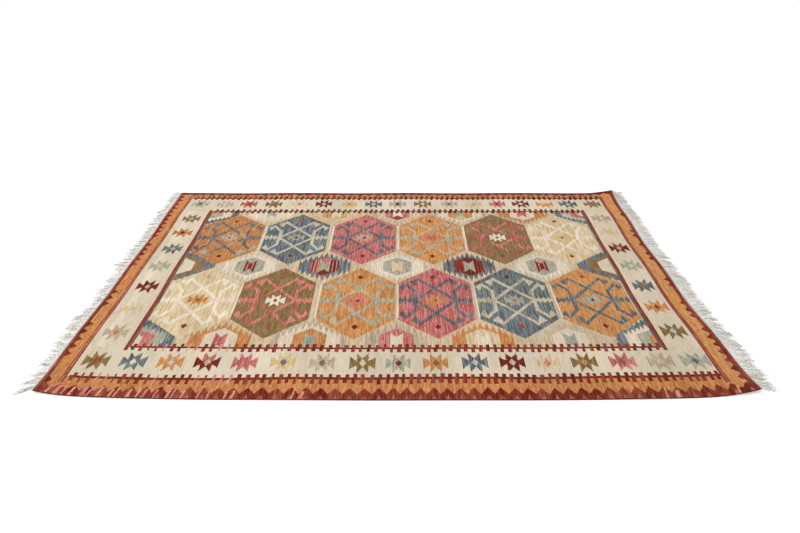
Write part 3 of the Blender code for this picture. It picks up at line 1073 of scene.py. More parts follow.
def weave_layers(mesh, spots, under_spots, rim_weave):
    """Both UV layers: the flat position in the weave and the place on the baked picture."""
    corners = np.zeros(len(mesh.loops), dtype=np.int32)
    mesh.loops.foreach_get("vertex_index", corners)
    rim_weave = np.array(rim_weave, dtype=np.float32).reshape(-1, 2)
    net = corners[:len(corners) - len(rim_weave)]
    weave = np.array(spots + under_spots, dtype=np.float32)[net]
    bake = np.concatenate((bake_places(spots, BAKED_ABOVE), bake_places(under_spots, BAKED_BELOW)))[net]
    layers = (("weave", (weave, rim_weave)), ("OFBake", (bake, bake_places(rim_weave, BAKED_ABOVE))))
    for name, parts in layers:
        layer = mesh.uv_layers.new(name=name)
        layer.uv.foreach_set("vector", np.concatenate(parts).astype(np.float32).ravel())


def cloth_mesh(chart, under_chart, settings):
    """The cloth and the patch of each face: both faces with the pattern, a round edge between them."""
    flat, triangles = net_of(chart, rim_points(chart.cloth))
    spots = list(map(tuple, flat.tolist()))
    edges = rim_edges(triangles)
    under_flat, under_triangles = net_of(under_chart, [spots[start] for start, _, _ in edges])
    under_spots = list(map(tuple, under_flat.tolist()))
    below_at = {rim_key(under_spots[start]): start for start, _, _ in rim_edges(under_triangles)}
    shift = centring()
    count = len(spots)
    places = laid(spots, settings, shift, True) + laid(under_spots, settings, shift, False)
    columns = {}
    for start, _, _ in edges:
        between, weave = round_the_edge(spots[start], outward(spots[start], chart.cloth), shift)
        first = len(places)
        places += between
        below = count + below_at[rim_key(spots[start])]
        columns[start] = ([start, *range(first, len(places)), below], weave)
    owners = covering_patch(chart, flat[triangles].mean(axis=1)).tolist()
    under_owners = covering_patch(under_chart, under_flat[under_triangles].mean(axis=1)) + len(chart.patches)
    faces = [tuple(t) for t in triangles.tolist()]
    faces += [(c + count, b + count, a + count) for a, b, c in under_triangles.tolist()]
    rim_faces, rim_weave, rim_owners = [], [], []
    for start, end, owner in edges:
        (here, here_weave), (there, there_weave) = columns[start], columns[end]
        for turn in range(RIM_TURNS):
            for corners, of_start, of_end in ((rim_faces, here, there), (rim_weave, here_weave, there_weave)):
                corners.append((of_start[turn], of_start[turn + 1], of_end[turn + 1], of_end[turn]))
            rim_owners.append(owners[owner])
    mesh = bpy.data.meshes.new("woven_panel")
    mesh.from_pydata(places, [], faces + rim_faces)
    mesh.polygons.foreach_set("use_smooth", [True] * len(mesh.polygons))
    weave_layers(mesh, spots, under_spots, rim_weave)
    print("cloth:", len(chart.patches), "patches,", len(faces), "net faces,", len(rim_faces), "rim faces")
    return mesh, owners + under_owners.tolist() + rim_owners


def paint(mesh, patches, owners, yarns):
    """Each face's yarn, the yarn that streaks it, and a number that tells its patch from its neighbours."""
    kinds = sorted({patch.yarn for patch in patches})
    main = {kind: linear(getattr(yarns, kind)) for kind in kinds}
    streak = {kind: linear(getattr(yarns, kind + "_streak")) for kind in kinds}
    for name, shade in (("yarn", main), ("streak", streak)):
        table = np.array([(*shade[patch.yarn], 1.0) for patch in patches], dtype=np.float32)
        layer = mesh.attributes.new(name, "FLOAT_COLOR", "FACE")
        layer.data.foreach_set("color", table[owners].ravel())
    lots = np.array([patch.lot for patch in patches], dtype=np.float32)
    layer = mesh.attributes.new("lot", "FLOAT", "FACE")
    layer.data.foreach_set("value", lots[owners])


def linear(colour):
    """A colour as light amounts, from the values that a screen shows."""
    return tuple(c / 12.92 if c <= 0.04045 else ((c + 0.055) / 1.055) ** 2.4 for c in colour)


# ---------------------------------------------------------------- dyed yarns

# Name: (the yarn as it shows, the yarn that streaks it), red, green and blue out of 255
DYED = {
    "faded": ((150, 76, 60), (184, 112, 94)),
    "copper": ((206, 148, 92), (184, 124, 74)),
    "cedar": ((158, 80, 68), (186, 112, 98)),
    "linen": ((203, 190, 165), (180, 167, 145)),
    "pearl": ((214, 200, 179), (218, 203, 181)),
    "cream": ((212, 201, 176), (217, 203, 178)),
    "ivory": ((212, 198, 174), (204, 189, 165)),
    "oat": ((211, 190, 158), (184, 158, 128)),
    "chalk": ((223, 208, 186), (206, 188, 162)),
    "sand": ((216, 197, 163), (190, 162, 116)),
    "wheat": ((198, 167, 113), (208, 184, 140)),
    "bone": ((230, 217, 196), (208, 194, 172)),
    "greige": ((190, 173, 149), (160, 142, 120)),
    "peach": ((218, 192, 158), (204, 172, 136)),
    "apricot": ((202, 145, 88), (176, 112, 64)),
    "amber": ((188, 130, 78), (160, 104, 64)),
    "gold": ((199, 139, 84), (180, 111, 66)),
    "salmon": ((196, 134, 98), (160, 98, 64)),
    "raspberry": ((176, 88, 86), (204, 136, 126)),
    "rose": ((188, 98, 90), (212, 142, 128)),
    "rosewood": ((146, 72, 58), (118, 50, 38)),
    "blush": ((214, 160, 140), (196, 128, 108)),
    "crimson": ((138, 44, 34), (166, 72, 58)),
    "henna": ((140, 62, 36), (164, 94, 60)),
    "brick": ((124, 50, 34), (160, 88, 68)),
    "russet": ((124, 46, 30), (152, 78, 56)),
    "madder": ((104, 30, 18), (132, 56, 40)),
    "maroon": ((96, 38, 22), (134, 72, 50)),
    "umber": ((122, 94, 60), (148, 120, 88)),
    "oxblood": ((72, 22, 10), (100, 42, 26)),
    "olive": ((118, 93, 54), (150, 121, 82)),
    "walnut": ((126, 98, 62), (150, 120, 86)),
    "sage": ((150, 151, 135), (178, 170, 150)),
    "mist": ((174, 174, 166), (192, 186, 172)),
    "denim": ((82, 93, 99), (136, 140, 135)),
    "slate": ((80, 84, 90), (130, 123, 118)),
    "spruce": ((80, 87, 80), (124, 127, 116)),
}
COTTON = (231, 229, 223)
AGED_COTTON = (222, 217, 206)
# A greyish brown mixed into the fringe: in the lowest lots partly dust and partly painted shade between
# strands, and towards the front left corner a darkening of the strands
DARK_BROWN = (142, 114, 94)
# The brown darkening fades out over these spans, away from the front left corner
DARKENED_X = (-1.46, -1.40)
DARKENED_Y = (-1.01, -0.94)


def shown(colour):
    return tuple(part / 255 for part in colour)


def colour_property(name, description, colour):
    return FloatVectorProperty(
        name=name, description=description, default=shown(colour),
        size=3, min=0.0, max=1.0, subtype="COLOR_GAMMA",
    )


# ---------------------------------------------------------------- settings

class ClothSettings(bpy.types.PropertyGroup):
    """Sizes of the woven panel."""

    row: FloatProperty(
        name="Pattern row", description="Rows of this height step the slanting edges of the pattern",
        default=0.006, min=0.004, max=0.02, subtype="DISTANCE", unit="LENGTH")
    drift: FloatProperty(
        name="Drift", description="How far uneven weaving moves the pattern",
        default=0.0018, min=0.0, max=0.01, subtype="DISTANCE", unit="LENGTH")
    pucker: FloatProperty(
        name="Pucker", description="Height of the small swellings of the unstretched cloth",
        default=0.0010, min=0.0, max=0.003, subtype="DISTANCE", unit="LENGTH")
    rib_pitch: FloatProperty(
        name="Rib pitch", description="Distance between neighbouring warps, which show as ribs",
        default=0.0030, min=0.001, max=0.01, subtype="DISTANCE", unit="LENGTH")
    pick_pitch: FloatProperty(
        name="Pick pitch", description="Distance between neighbouring wefts",
        default=0.0012, min=0.0005, max=0.005, subtype="DISTANCE", unit="LENGTH")
    seed: IntProperty(name="Seed", description="Chooses one run of small unevenness", default=7, min=0)


class YarnColours(bpy.types.PropertyGroup):
    """The dyed yarns, each with the yarn that streaks it."""

    __annotations__ = {
        name: colour_property(name.capitalize(), "Colour of this dyed wool", yarn)
        for name, (yarn, _) in DYED.items()
    } | {
        name + "_streak": colour_property(name.capitalize() + " streak", "Colour of its uneven dye", streak)
        for name, (_, streak) in DYED.items()
    } | {"cotton": colour_property("Cotton", "Colour of the loose warp ends", COTTON)}


# The fringes, as they are made unless the settings say otherwise
STRANDS = 1350
LOOSE_LENGTH = 0.068
LENGTH_UNEVENNESS = 0.20
LOOSE_THICKNESS = 0.0011
TUFT_PITCH = 0.014
GATHER = 0.30
CURL = 0.0052
FRINGE_SEED = 11


class FringeSettings(bpy.types.PropertyGroup):
    """The loose warp ends at both short ends."""

    strands: IntProperty(
        name="Strands", description="Loose warp ends at each short end", default=STRANDS, min=50, max=1600)
    length: FloatProperty(
        name="Length", description="Mean length of a loose end",
        default=LOOSE_LENGTH, min=0.02, max=0.2, subtype="DISTANCE", unit="LENGTH")
    unevenness: FloatProperty(
        name="Unevenness", description="How far lengths depart from the mean, as a share of it",
        default=LENGTH_UNEVENNESS, min=0.0, max=0.5, subtype="FACTOR")
    thickness: FloatProperty(
        name="Thickness", description="Diameter of a loose end",
        default=LOOSE_THICKNESS, min=0.0004, max=0.004, subtype="DISTANCE", unit="LENGTH")
    tuft_pitch: FloatProperty(
        name="Tuft pitch", description="Distance between the tufts into which the ends gather",
        default=TUFT_PITCH, min=0.004, max=0.1, subtype="DISTANCE", unit="LENGTH")
    gather: FloatProperty(
        name="Gather", description="How much the ends draw together in a tuft",
        default=GATHER, min=0.0, max=1.0, subtype="FACTOR")
    curl: FloatProperty(
        name="Curl", description="How far an end waves to each side",
        default=CURL, min=0.0, max=0.01, subtype="DISTANCE", unit="LENGTH")
    seed: IntProperty(name="Seed", description="Chooses one lie of the fringes", default=FRINGE_SEED, min=0)


class StageSettings(bpy.types.PropertyGroup):
    """The camera, the light and the floor."""

    camera_place: FloatVectorProperty(
        name="Camera place", description="Where the camera stands, in the rug's frame",
        default=(0.0133, -2.8610, 1.7213), size=3, subtype="XYZ", unit="LENGTH")
    camera_tilt: FloatProperty(
        name="Camera tilt", description="Angle of the camera from straight down",
        default=math.radians(59.175), subtype="ANGLE", unit="ROTATION")
    lens: FloatProperty(
        name="Lens", description="Focal length in millimetres", default=27.245, min=10.0, max=200.0)
    sky: FloatProperty(
        name="Surrounding light", description="Strength of the even light from all round",
        default=0.72, min=0.0)
    lamp: FloatProperty(
        name="Lamp", description="Power of the large soft lamp overhead",
        default=130.0, min=0.0, unit="POWER")
    floor_colour: colour_property("Floor", "Colour of the floor", (250, 250, 250))


# ---------------------------------------------------------------- nodes

NODE_GAP_X = 190
NODE_GAP_Y = 220
NODES_IN_COLUMN = 4


class Nodes:
    """Adds nodes to a tree and links them, so that a tree reads as a list of steps."""

    def __init__(self, tree):
        self.tree = tree

    def add(self, kind, inputs=None, **settings):
        node = self.tree.nodes.new(kind)
        place = len(self.tree.nodes)
        node.location = (NODE_GAP_X * (place // NODES_IN_COLUMN), -NODE_GAP_Y * (place % NODES_IN_COLUMN))
        for name, value in settings.items():
            setattr(node, name, value)
        self.give(node, inputs or {})
        return node

    def give(self, node, inputs):
        """Sets a node's inputs, each from a socket or as a plain value."""
        for key, value in inputs.items():
            self.feed(node.inputs[key], value)

    def feed(self, socket, value):
        if isinstance(value, bpy.types.NodeSocket):
            self.tree.links.new(value, socket)
        else:
            socket.default_value = value

    def math(self, operation, a, b=0.0, c=0.0):
        return self.add("ShaderNodeMath", {0: a, 1: b, 2: c}, operation=operation).outputs[0]

    def vector(self, x=0.0, y=0.0, z=0.0):
        return self.add("ShaderNodeCombineXYZ", {"X": x, "Y": y, "Z": z}).outputs[0]

    def split(self, vector):
        return self.add("ShaderNodeSeparateXYZ", {"Vector": vector}).outputs

    def ramp(self, value, low, high, to_low=0.0, to_high=1.0, way="SMOOTHSTEP"):
        node = self.add(
            "ShaderNodeMapRange",
            {"Value": value, "From Min": low, "From Max": high, "To Min": to_low, "To Max": to_high},
            interpolation_type=way,
        )
        return node.outputs["Result"]

    def noise(self, vector, detail=2.0, roughness=0.5):
        node = self.add(
            "ShaderNodeTexNoise", {"Vector": vector, "Scale": 1.0, "Detail": detail, "Roughness": roughness}
        )
        return node.outputs[0]

    def blend(self, share, a, b, way="MIX"):
        """Two colours, mixed or multiplied."""
        node = self.add("ShaderNodeMix", data_type="RGBA", blend_type=way)
        sockets = [s for s in node.inputs if s.enabled]
        for socket, value in zip(sockets, (share, a, b)):
            self.feed(socket, value)
        return next(s for s in node.outputs if s.enabled)


def shader_group(name, inputs, outputs):
    """A new shader node group with named sockets, and its ends: inputs are (name, kind, default)."""
    tree = bpy.data.node_groups.new(name, "ShaderNodeTree")
    for label, kind, default in inputs:
        socket = tree.interface.new_socket(label, in_out="INPUT", socket_type=kind)
        if default is not None:
            socket.default_value = default
    for label, kind in outputs:
        tree.interface.new_socket(label, in_out="OUTPUT", socket_type=kind)
    nodes = Nodes(tree)
    return tree, nodes, nodes.add("NodeGroupInput").outputs


def streaks_group():
    """Masks of the uneven dye: long thin streaks that run with the weft."""
    tree, n, given = shader_group(
        "Weft streaks",
        [("Position", "NodeSocketVector", None), ("Lot", "NodeSocketFloat", 0.0),
         ("Across", "NodeSocketFloat", 70.0), ("Along", "NodeSocketFloat", 7.0)],
        [("Broad", "NodeSocketFloat"), ("Fine", "NodeSocketFloat"), ("Mottle", "NodeSocketFloat")],
    )
    u, v, _ = n.split(given["Position"])
    lot = n.math("MULTIPLY", given["Lot"], 97.0)
    across = n.math("MULTIPLY", u, given["Across"])
    along = n.math("MULTIPLY", v, given["Along"])
    broad = n.noise(n.vector(across, along, lot), 2.0, 0.55)
    fine_place = n.vector(n.math("MULTIPLY", across, 2.4), n.math("MULTIPLY", along, 2.6), lot)
    fine = n.noise(fine_place, 2.0, 0.6)
    spot_place = n.vector(n.math("MULTIPLY", across, 1.5), n.math("MULTIPLY", along, 5.0), lot)
    spots = n.noise(spot_place, 1.0, 0.5)
    n.add("NodeGroupOutput", {
        "Broad": n.ramp(broad, 0.42, 0.60),
        "Fine": n.ramp(fine, 0.34, 0.66),
        "Mottle": n.ramp(spots, 0.28, 0.72),
    })
    return tree


def grain_group():
    """A tint near 1 that lightens and darkens single fibres of a yarn."""
    tree, n, given = shader_group(
        "Yarn grain",
        [("Position", "NodeSocketVector", None), ("Across", "NodeSocketFloat", 900.0),
         ("Along", "NodeSocketFloat", 90.0), ("Strength", "NodeSocketFloat", 0.16)],
        [("Tint", "NodeSocketFloat"), ("Height", "NodeSocketFloat")],
    )
    u, v, w = n.split(given["Position"])
    place = n.vector(n.math("MULTIPLY", u, given["Across"]), n.math("MULTIPLY", v, given["Along"]),
                     n.math("MULTIPLY", w, given["Across"]))
    fibre = n.noise(place, 3.0, 0.6)
    swing = n.math("MULTIPLY", n.math("SUBTRACT", fibre, 0.5), given["Strength"])
    n.add("NodeGroupOutput", {"Tint": n.math("ADD", swing, 1.0), "Height": fibre})
    return tree


def rib_group():
    """Relief of a weft-faced weave: ribs over the warps, and picks that step by half a pick on each rib. Its
    Shade output is painted shade, which darkens the colour in the grooves between them.
    """
    tree, n, given = shader_group(
        "Ribbed weave",
        [("Position", "NodeSocketVector", None), ("Rib pitch", "NodeSocketFloat", 0.003),
         ("Pick pitch", "NodeSocketFloat", 0.0012)],
        [("Height", "NodeSocketFloat"), ("Shade", "NodeSocketFloat")],
    )
    u, v, _ = n.split(given["Position"])
    wobble = n.noise(n.vector(n.math("MULTIPLY", u, 60.0), n.math("MULTIPLY", v, 60.0), 3.0), 1.0)
    wobble = n.math("MULTIPLY", n.math("SUBTRACT", wobble, 0.5), 0.6)
    rib_place = n.math("ADD", n.math("DIVIDE", v, given["Rib pitch"]), wobble)
    rib = n.math("ABSOLUTE", n.math("SINE", n.math("MULTIPLY", rib_place, math.pi)))
    odd = n.math("MULTIPLY", n.math("FLOOR", rib_place), 0.5)
    pick_place = n.math("ADD", n.math("ADD", n.math("DIVIDE", u, given["Pick pitch"]), odd), wobble)
    pick = n.math("ABSOLUTE", n.math("SINE", n.math("MULTIPLY", pick_place, math.pi)))
    body = n.math("POWER", rib, 0.6)
    ribs = n.math("MULTIPLY", body, 0.65)
    picks = n.math("MULTIPLY", n.math("POWER", pick, 0.7), 0.35)
    height = n.math("ADD", ribs, picks)
    # Shade is painted shade: down to 0.72 of the colour in the grooves between ribs and picks
    n.add("NodeGroupOutput", {"Height": height, "Shade": n.ramp(height, 0.15, 0.8, to_low=0.72)})
    return tree


def place_group(n, tree, inputs):
    """A group's node in a material, with its own values."""
    node = n.add("ShaderNodeGroup", node_tree=tree)
    n.give(node, inputs)
    return node.outputs


def new_material(name):
    """An empty node material, its node helper and its Principled BSDF."""
    material = bpy.data.materials.new(name)
    material.use_nodes = True
    material.node_tree.nodes.clear()
    n = Nodes(material.node_tree)
    shader = n.add("ShaderNodeBsdfPrincipled")
    n.add("ShaderNodeOutputMaterial", {"Surface": shader.outputs[0]})
    return material, n, shader


FINE_UNEVENNESS = 0.44  # the dye's swing in narrow streaks, on dark wool
MOTTLE_UNEVENNESS = 0.36
PALE_EVENNESS = 0.28  # the share of that swing which pale wool shows


def wool_material(groups, cloth):
    """Dyed wool: the patch's yarn, streaked by uneven dye, with ribs, picks and fibres, and painted shade in
    the grooves between ribs and picks.
    """
    material, n, shader = new_material("dyed_wool")
    place = n.add("ShaderNodeUVMap", uv_map="weave").outputs["UV"]
    yarn = n.add("ShaderNodeAttribute", attribute_name="yarn").outputs["Color"]
    streak = n.add("ShaderNodeAttribute", attribute_name="streak").outputs["Color"]
    lot = n.add("ShaderNodeAttribute", attribute_name="lot").outputs["Fac"]
    dye = place_group(n, groups["streaks"], {"Position": place, "Lot": lot, "Across": 150.0, "Along": 10.0})
    grain = place_group(n, groups["grain"], {"Position": place, "Strength": 0.30})
    rib = place_group(
        n, groups["rib"], {"Position": place, "Rib pitch": cloth.rib_pitch, "Pick pitch": cloth.pick_pitch}
    )
    share = n.math("MULTIPLY", dye["Broad"], 0.85)
    colour = n.blend(share, yarn, streak)
    u, v, _ = n.split(place)
    fade = n.noise(n.vector(n.math("MULTIPLY", u, 6.0), n.math("MULTIPLY", v, 3.0), 8.0), 2.0)
    fade = n.ramp(fade, 0.3, 0.7, to_low=0.94, to_high=1.06)
    own = n.ramp(lot, 0.0, 1.0, to_low=0.96, to_high=1.04, way="LINEAR")
    lightness = n.add("ShaderNodeRGBToBW", {"Color": yarn}).outputs[0]
    depth = n.ramp(lightness, 0.30, 0.58, to_low=1.0, to_high=PALE_EVENNESS, way="LINEAR")
    fine = n.math("MULTIPLY", n.math("SUBTRACT", dye["Fine"], 0.5), FINE_UNEVENNESS)
    mottle = n.math("MULTIPLY", n.math("SUBTRACT", dye["Mottle"], 0.5), MOTTLE_UNEVENNESS)
    dyed = n.math("MULTIPLY_ADD", n.math("ADD", fine, mottle), depth, 1.0)
    uneven = n.math("MULTIPLY", dyed, grain["Tint"])
    tint = n.math("MULTIPLY", n.math("MULTIPLY", fade, own), uneven)
    # painted shade: the colour darkens in the grooves between ribs and picks
    tint = n.math("MULTIPLY", tint, rib["Shade"])
    tinted = n.blend(1.0, colour, n.vector(tint, tint, tint), "MULTIPLY")
    height = n.math("ADD", rib["Height"], n.math("MULTIPLY", grain["Height"], 0.35))
    bump = n.add("ShaderNodeBump", {"Height": height, "Strength": 0.5, "Distance": 0.0008})
    rough = n.ramp(grain["Height"], 0.3, 0.7, to_low=0.82, to_high=0.94)
    n.give(shader, {
        "Base Color": tinted, "Roughness": rough, "Normal": bump.outputs[0], "Specular IOR Level": 0.05,
        "Sheen Weight": 0.02, "Sheen Roughness": 0.6,
    })
    return material


def cotton_material(groups, yarns):
    """Undyed cotton: off-white, with darker, browner strands among the others (partly dust, partly painted
    shade between strands), darker and browner towards one corner, with fine twisted fibres.
    """
    material, n, shader = new_material("undyed_cotton")
    place = n.add("ShaderNodeTexCoord").outputs["Object"]
    lot = n.add("ShaderNodeAttribute", attribute_name="lot").outputs["Fac"]
    grain = place_group(n, groups["grain"], {
        "Position": place, "Across": 700.0, "Along": 1400.0, "Strength": 0.16,
    })
    closer = n.add("ShaderNodeVectorMath", {0: place, 1: (30.0, 30.0, 30.0)}, operation="MULTIPLY")
    patchy = n.noise(closer.outputs[0])
    # strands of low lots are darker: partly their own tone, partly painted shade between strands
    shade = n.ramp(lot, 0.0, 0.5, to_low=0.62, to_high=1.06, way="LINEAR")
    own = n.math("MULTIPLY", shade, n.ramp(patchy, 0.3, 0.7, to_low=0.95, to_high=1.03))
    tint = n.math("MULTIPLY", own, grain["Tint"])
    clean, aged = ((*linear(colour), 1.0) for colour in (yarns.cotton, shown(AGED_COTTON)))
    warm = n.blend(n.ramp(lot, 0.2, 0.9), clean, aged)
    x, y, _ = n.split(place)
    # darker and browner towards the front left corner
    left, front = (n.ramp(*span, to_low=1.0, to_high=0.0) for span in ((x, *DARKENED_X), (y, *DARKENED_Y)))
    corner = n.math("MULTIPLY", left, front)
    # strands of the lowest lots take the brown: partly dust, partly painted shade between strands
    dust_and_shade = n.ramp(lot, 0.0, 0.24, to_low=0.75, to_high=0.0)
    darkening_share = n.math("MAXIMUM", n.math("MULTIPLY", corner, n.ramp(lot, 0.10, 0.60)), dust_and_shade)
    darkened = n.blend(darkening_share, warm, (*linear(shown(DARK_BROWN)), 1.0))
    colour = n.blend(1.0, darkened, n.vector(tint, tint, tint), "MULTIPLY")
    bump = n.add("ShaderNodeBump", {"Height": grain["Height"], "Strength": 0.35, "Distance": 0.0003})
    n.give(shader, {
        "Base Color": colour,
        "Roughness": n.ramp(grain["Height"], 0.3, 0.7, to_low=0.78, to_high=0.92),
        "Normal": bump.outputs[0], "Specular IOR Level": 0.3, "Sheen Weight": 0.1, "Sheen Roughness": 0.5,
    })
    return material


def floor_material(settings):
    """A plain white floor that shows no grey of its own beyond the rug's soft shadows."""
    material, n, shader = new_material("white_floor")
    colour = (*linear(settings.floor_colour), 1.0)
    n.give(shader, {
        "Base Color": colour, "Roughness": 0.9, "Specular IOR Level": 0.1, "Emission Color": colour,
        "Emission Strength": 0.34,
    })
    return material


# ---------------------------------------------------------------- fringes

LANDING = 0.48  # share of a loose end's length at which it has come down to the floor
CORNER_FANS = {-1: (0.011, 0.026), 1: (0.004, 0.026)}  # spread at the front and back corner of each end
CORNER_FAN_REACH = 0.16
# Strands, length and unevenness of each fringe, as shares of the settings: the left one is worn thinner
FRINGE_LIES = {-1: (0.82, 0.90, 1.9), 1: (1.0, 1.10, 1.0)}
Sway = namedtuple("Sway", "length sway phase")
SWAYS = {
    -1: (Sway(0.83, 0.013, 0.6), Sway(0.31, 0.004, 2.1)),
    1: (Sway(0.71, 0.012, 3.9), Sway(0.27, 0.004, 0.4)),
}
GUIDE_INSET = 0.002
TUFT_WARP = 0.05  # how far the tufts' even spacing is pushed along the end
TUFT_LENGTH_SHARE = 0.6
TUFT_LEAN = 0.009
OWN_LEAN = 0.018
FEWEST_WAVES = 1.2
MOST_WAVES = 3.4
PILE_HEIGHT = 0.0075  # strands lie over each other up to about this height
ROOT_OUT = 0.002
TIP_SHARE = 0.55  # of a strand's thickness
STRAND_POINTS = 16
STRAND_SIDES = 3
CORD_OUT = 0.0030
CORD_RADIUS = 0.0010
CORD_TURN = 0.0080
CORD_POINTS_IN_TURN = 6
CORD_SIDES = 4
# a low lot: the cotton material gives the cord some of the darker tone and painted shade of the low lots
CORD_LOT = 0.2
GUIDE_POINTS = 401


def lock_sway(end, y, front, back):
    """How far along Y the tip of a loose end leans."""
    lean = sum(s.sway * math.sin(math.tau * y / s.length + s.phase) for s in SWAYS[end])
    fan_back = ease(1.0 - (back - y) / CORNER_FAN_REACH)
    fan_front = ease(1.0 - (y - front) / CORNER_FAN_REACH)
    calm = 1.0 - max(fan_back, fan_front)
    front_fan, back_fan = CORNER_FANS[end]
    return lean * calm + back_fan * fan_back - front_fan * fan_front


def fringe_guide(end):
    """The line along one end of the panel from which the warps leave it, with their sway in an attribute."""
    shift = centring()
    places = []
    for number in range(GUIDE_POINTS):
        v = (HALF_WIDTH - GUIDE_INSET) * (2.0 * number / (GUIDE_POINTS - 1) - 1.0)
        place = lie(end * HALF_LENGTH, v) + shift
        place.z += PANEL_THICKNESS / 2
        places.append(place)
    front, back = places[0].y, places[-1].y
    mesh = bpy.data.meshes.new("fringe_guide")
    mesh.from_pydata(places, [(i, i + 1) for i in range(GUIDE_POINTS - 1)], [])
    layer = mesh.attributes.new("sway", "FLOAT", "POINT")
    layer.data.foreach_set("value", [lock_sway(end, p.y, front, back) for p in places])
    return mesh


def random_between(n, low, high, number, seed):
    node = n.add("FunctionNodeRandomValue", {2: low, 3: high, "ID": number, "Seed": seed}, data_type="FLOAT")
    return node.outputs[1]


def sampled(n, geometry, kind, value, number):
    node = n.add("GeometryNodeSampleIndex", data_type=kind, domain="POINT")
    sockets = {s.name: s for s in node.inputs if s.enabled}
    n.tree.links.new(geometry, sockets["Geometry"])
    n.tree.links.new(value, sockets["Value"])
    n.tree.links.new(number, sockets["Index"])
    return next(s for s in node.outputs if s.enabled)


def fringe_tree(material):
    """Loose warp ends along a guide line, gathered in tufts, and the twined cord that they leave."""
    tree = bpy.data.node_groups.new("Loose warp ends", "GeometryNodeTree")
    face = tree.interface
    face.new_socket("Guide", in_out="INPUT", socket_type="NodeSocketGeometry")
    for label, kind, default in FRINGE_SOCKETS:
        face.new_socket(label, in_out="INPUT", socket_type=kind).default_value = default
    face.new_socket("Fringe", in_out="OUTPUT", socket_type="NodeSocketGeometry")
    n = Nodes(tree)
    given = n.add("NodeGroupInput").outputs
    guide = n.add("GeometryNodeMeshToCurve", {"Mesh": given["Guide"]}).outputs["Curve"]
    strands = loose_strands(n, given, guide)
    cord = twined_cord(n, given, guide)
    joined = n.add("GeometryNodeJoinGeometry", {"Geometry": strands})
    tree.links.new(cord, joined.inputs["Geometry"])
    real = n.add("GeometryNodeRealizeInstances", {"Geometry": joined.outputs[0]})
    smooth = n.add("GeometryNodeSetShadeSmooth", {"Geometry": real.outputs[0], "Shade Smooth": True})
    dressed = n.add("GeometryNodeSetMaterial", {"Geometry": smooth.outputs[0], "Material": material})
    n.add("NodeGroupOutput", {"Fringe": dressed.outputs[0]})
    return tree


FRINGE_SOCKETS = (
    ("Strands", "NodeSocketInt", STRANDS),
    ("Side", "NodeSocketFloat", 1.0),
    ("Length", "NodeSocketFloat", LOOSE_LENGTH),
    ("Unevenness", "NodeSocketFloat", LENGTH_UNEVENNESS),
    ("Thickness", "NodeSocketFloat", LOOSE_THICKNESS),
    ("Tuft pitch", "NodeSocketFloat", TUFT_PITCH),
    ("Gather", "NodeSocketFloat", GATHER),
    ("Curl", "NodeSocketFloat", CURL),
    ("Cord turns", "NodeSocketInt", round(PANEL_WIDTH / CORD_TURN)),
    ("Seed", "NodeSocketInt", FRINGE_SEED),
)


Strand = namedtuple("Strand", "geometry number share root sway")


def strand_lines(n, given, guide):
    """A line for each loose warp end, with its number, the share of it passed, its root and its sway."""
    roots = n.add("GeometryNodeResampleCurve", {"Curve": guide, "Count": given["Strands"]}).outputs[0]
    line = n.add("GeometryNodeCurvePrimitiveLine", {"End": (0.0, 0.0, 1.0)}).outputs[0]
    pattern = n.add("GeometryNodeResampleCurve", {"Curve": line, "Count": STRAND_POINTS}).outputs[0]
    placed = n.add("GeometryNodeInstanceOnPoints", {"Points": roots, "Instance": pattern}).outputs[0]
    real = n.add("GeometryNodeRealizeInstances", {"Geometry": placed}).outputs[0]
    number = n.add("GeometryNodeCurveOfPoint").outputs["Curve Index"]
    share = n.add("GeometryNodeSplineParameter").outputs["Factor"]
    here = n.add("GeometryNodeInputPosition").outputs[0]
    root = sampled(n, roots, "FLOAT_VECTOR", here, number)
    named = n.add("GeometryNodeInputNamedAttribute", {"Name": "sway"}, data_type="FLOAT").outputs[0]
    sway = sampled(n, roots, "FLOAT", named, number)
    return Strand(real, number, share, n.split(root), sway)


def tufts(n, given, root_y):
    """The number of each strand's tuft and how far the strand is drawn to the tuft's middle."""
    along = n.math("MULTIPLY", root_y, 9.0)
    warp = n.noise(n.vector(along, n.math("MULTIPLY", given["Seed"], 3.1), 0.5), 1.0)
    warped = n.math("ADD", root_y, n.math("MULTIPLY", warp, TUFT_WARP))
    tuft = n.math("FLOOR", n.math("DIVIDE", warped, given["Tuft pitch"]))
    middle = n.math("MULTIPLY", n.math("ADD", tuft, 0.5), given["Tuft pitch"])
    return tuft, n.math("MULTIPLY", n.math("SUBTRACT", middle, warped), given["Gather"])


def strand_length(n, given, strand, tuft, seeds):
    own = random_between(n, -1.0, 1.0, strand.number, seeds[0])
    shared = random_between(n, -TUFT_LENGTH_SHARE, TUFT_LENGTH_SHARE, tuft, seeds[1])
    swing = n.math("MULTIPLY", n.math("ADD", own, shared), given["Unevenness"])
    return n.math("MULTIPLY", given["Length"], n.math("ADD", swing, 1.0))


def strand_lean(n, strand, tuft, seeds):
    """How far along Y a strand has leant at each point."""
    tuft_lean = random_between(n, -TUFT_LEAN, TUFT_LEAN, tuft, seeds[2])
    own_lean = random_between(n, -OWN_LEAN, OWN_LEAN, strand.number, seeds[3])
    lean = n.math("ADD", n.math("ADD", tuft_lean, own_lean), strand.sway)
    return n.math("MULTIPLY", lean, n.math("POWER", strand.share, 1.4))


def strand_waves(n, given, strand, seeds):
    """A strand's waves along Y and outwards."""
    phase = random_between(n, 0.0, math.tau, strand.number, seeds[4])
    turns = random_between(n, FEWEST_WAVES, MOST_WAVES, strand.number, seeds[5])
    angle = n.math("ADD", n.math("MULTIPLY", n.math("MULTIPLY", strand.share, turns), math.tau), phase)
    reach = n.math("MULTIPLY", given["Curl"], n.ramp(strand.share, 0.0, 0.55))
    small = n.math("MULTIPLY", n.math("SINE", n.math("MULTIPLY", angle, 2.3)), 0.35)
    wave = n.math("MULTIPLY", n.math("ADD", n.math("SINE", angle), small), reach)
    return wave, n.math("MULTIPLY", n.math("COSINE", n.math("MULTIPLY", angle, 1.3)), reach)


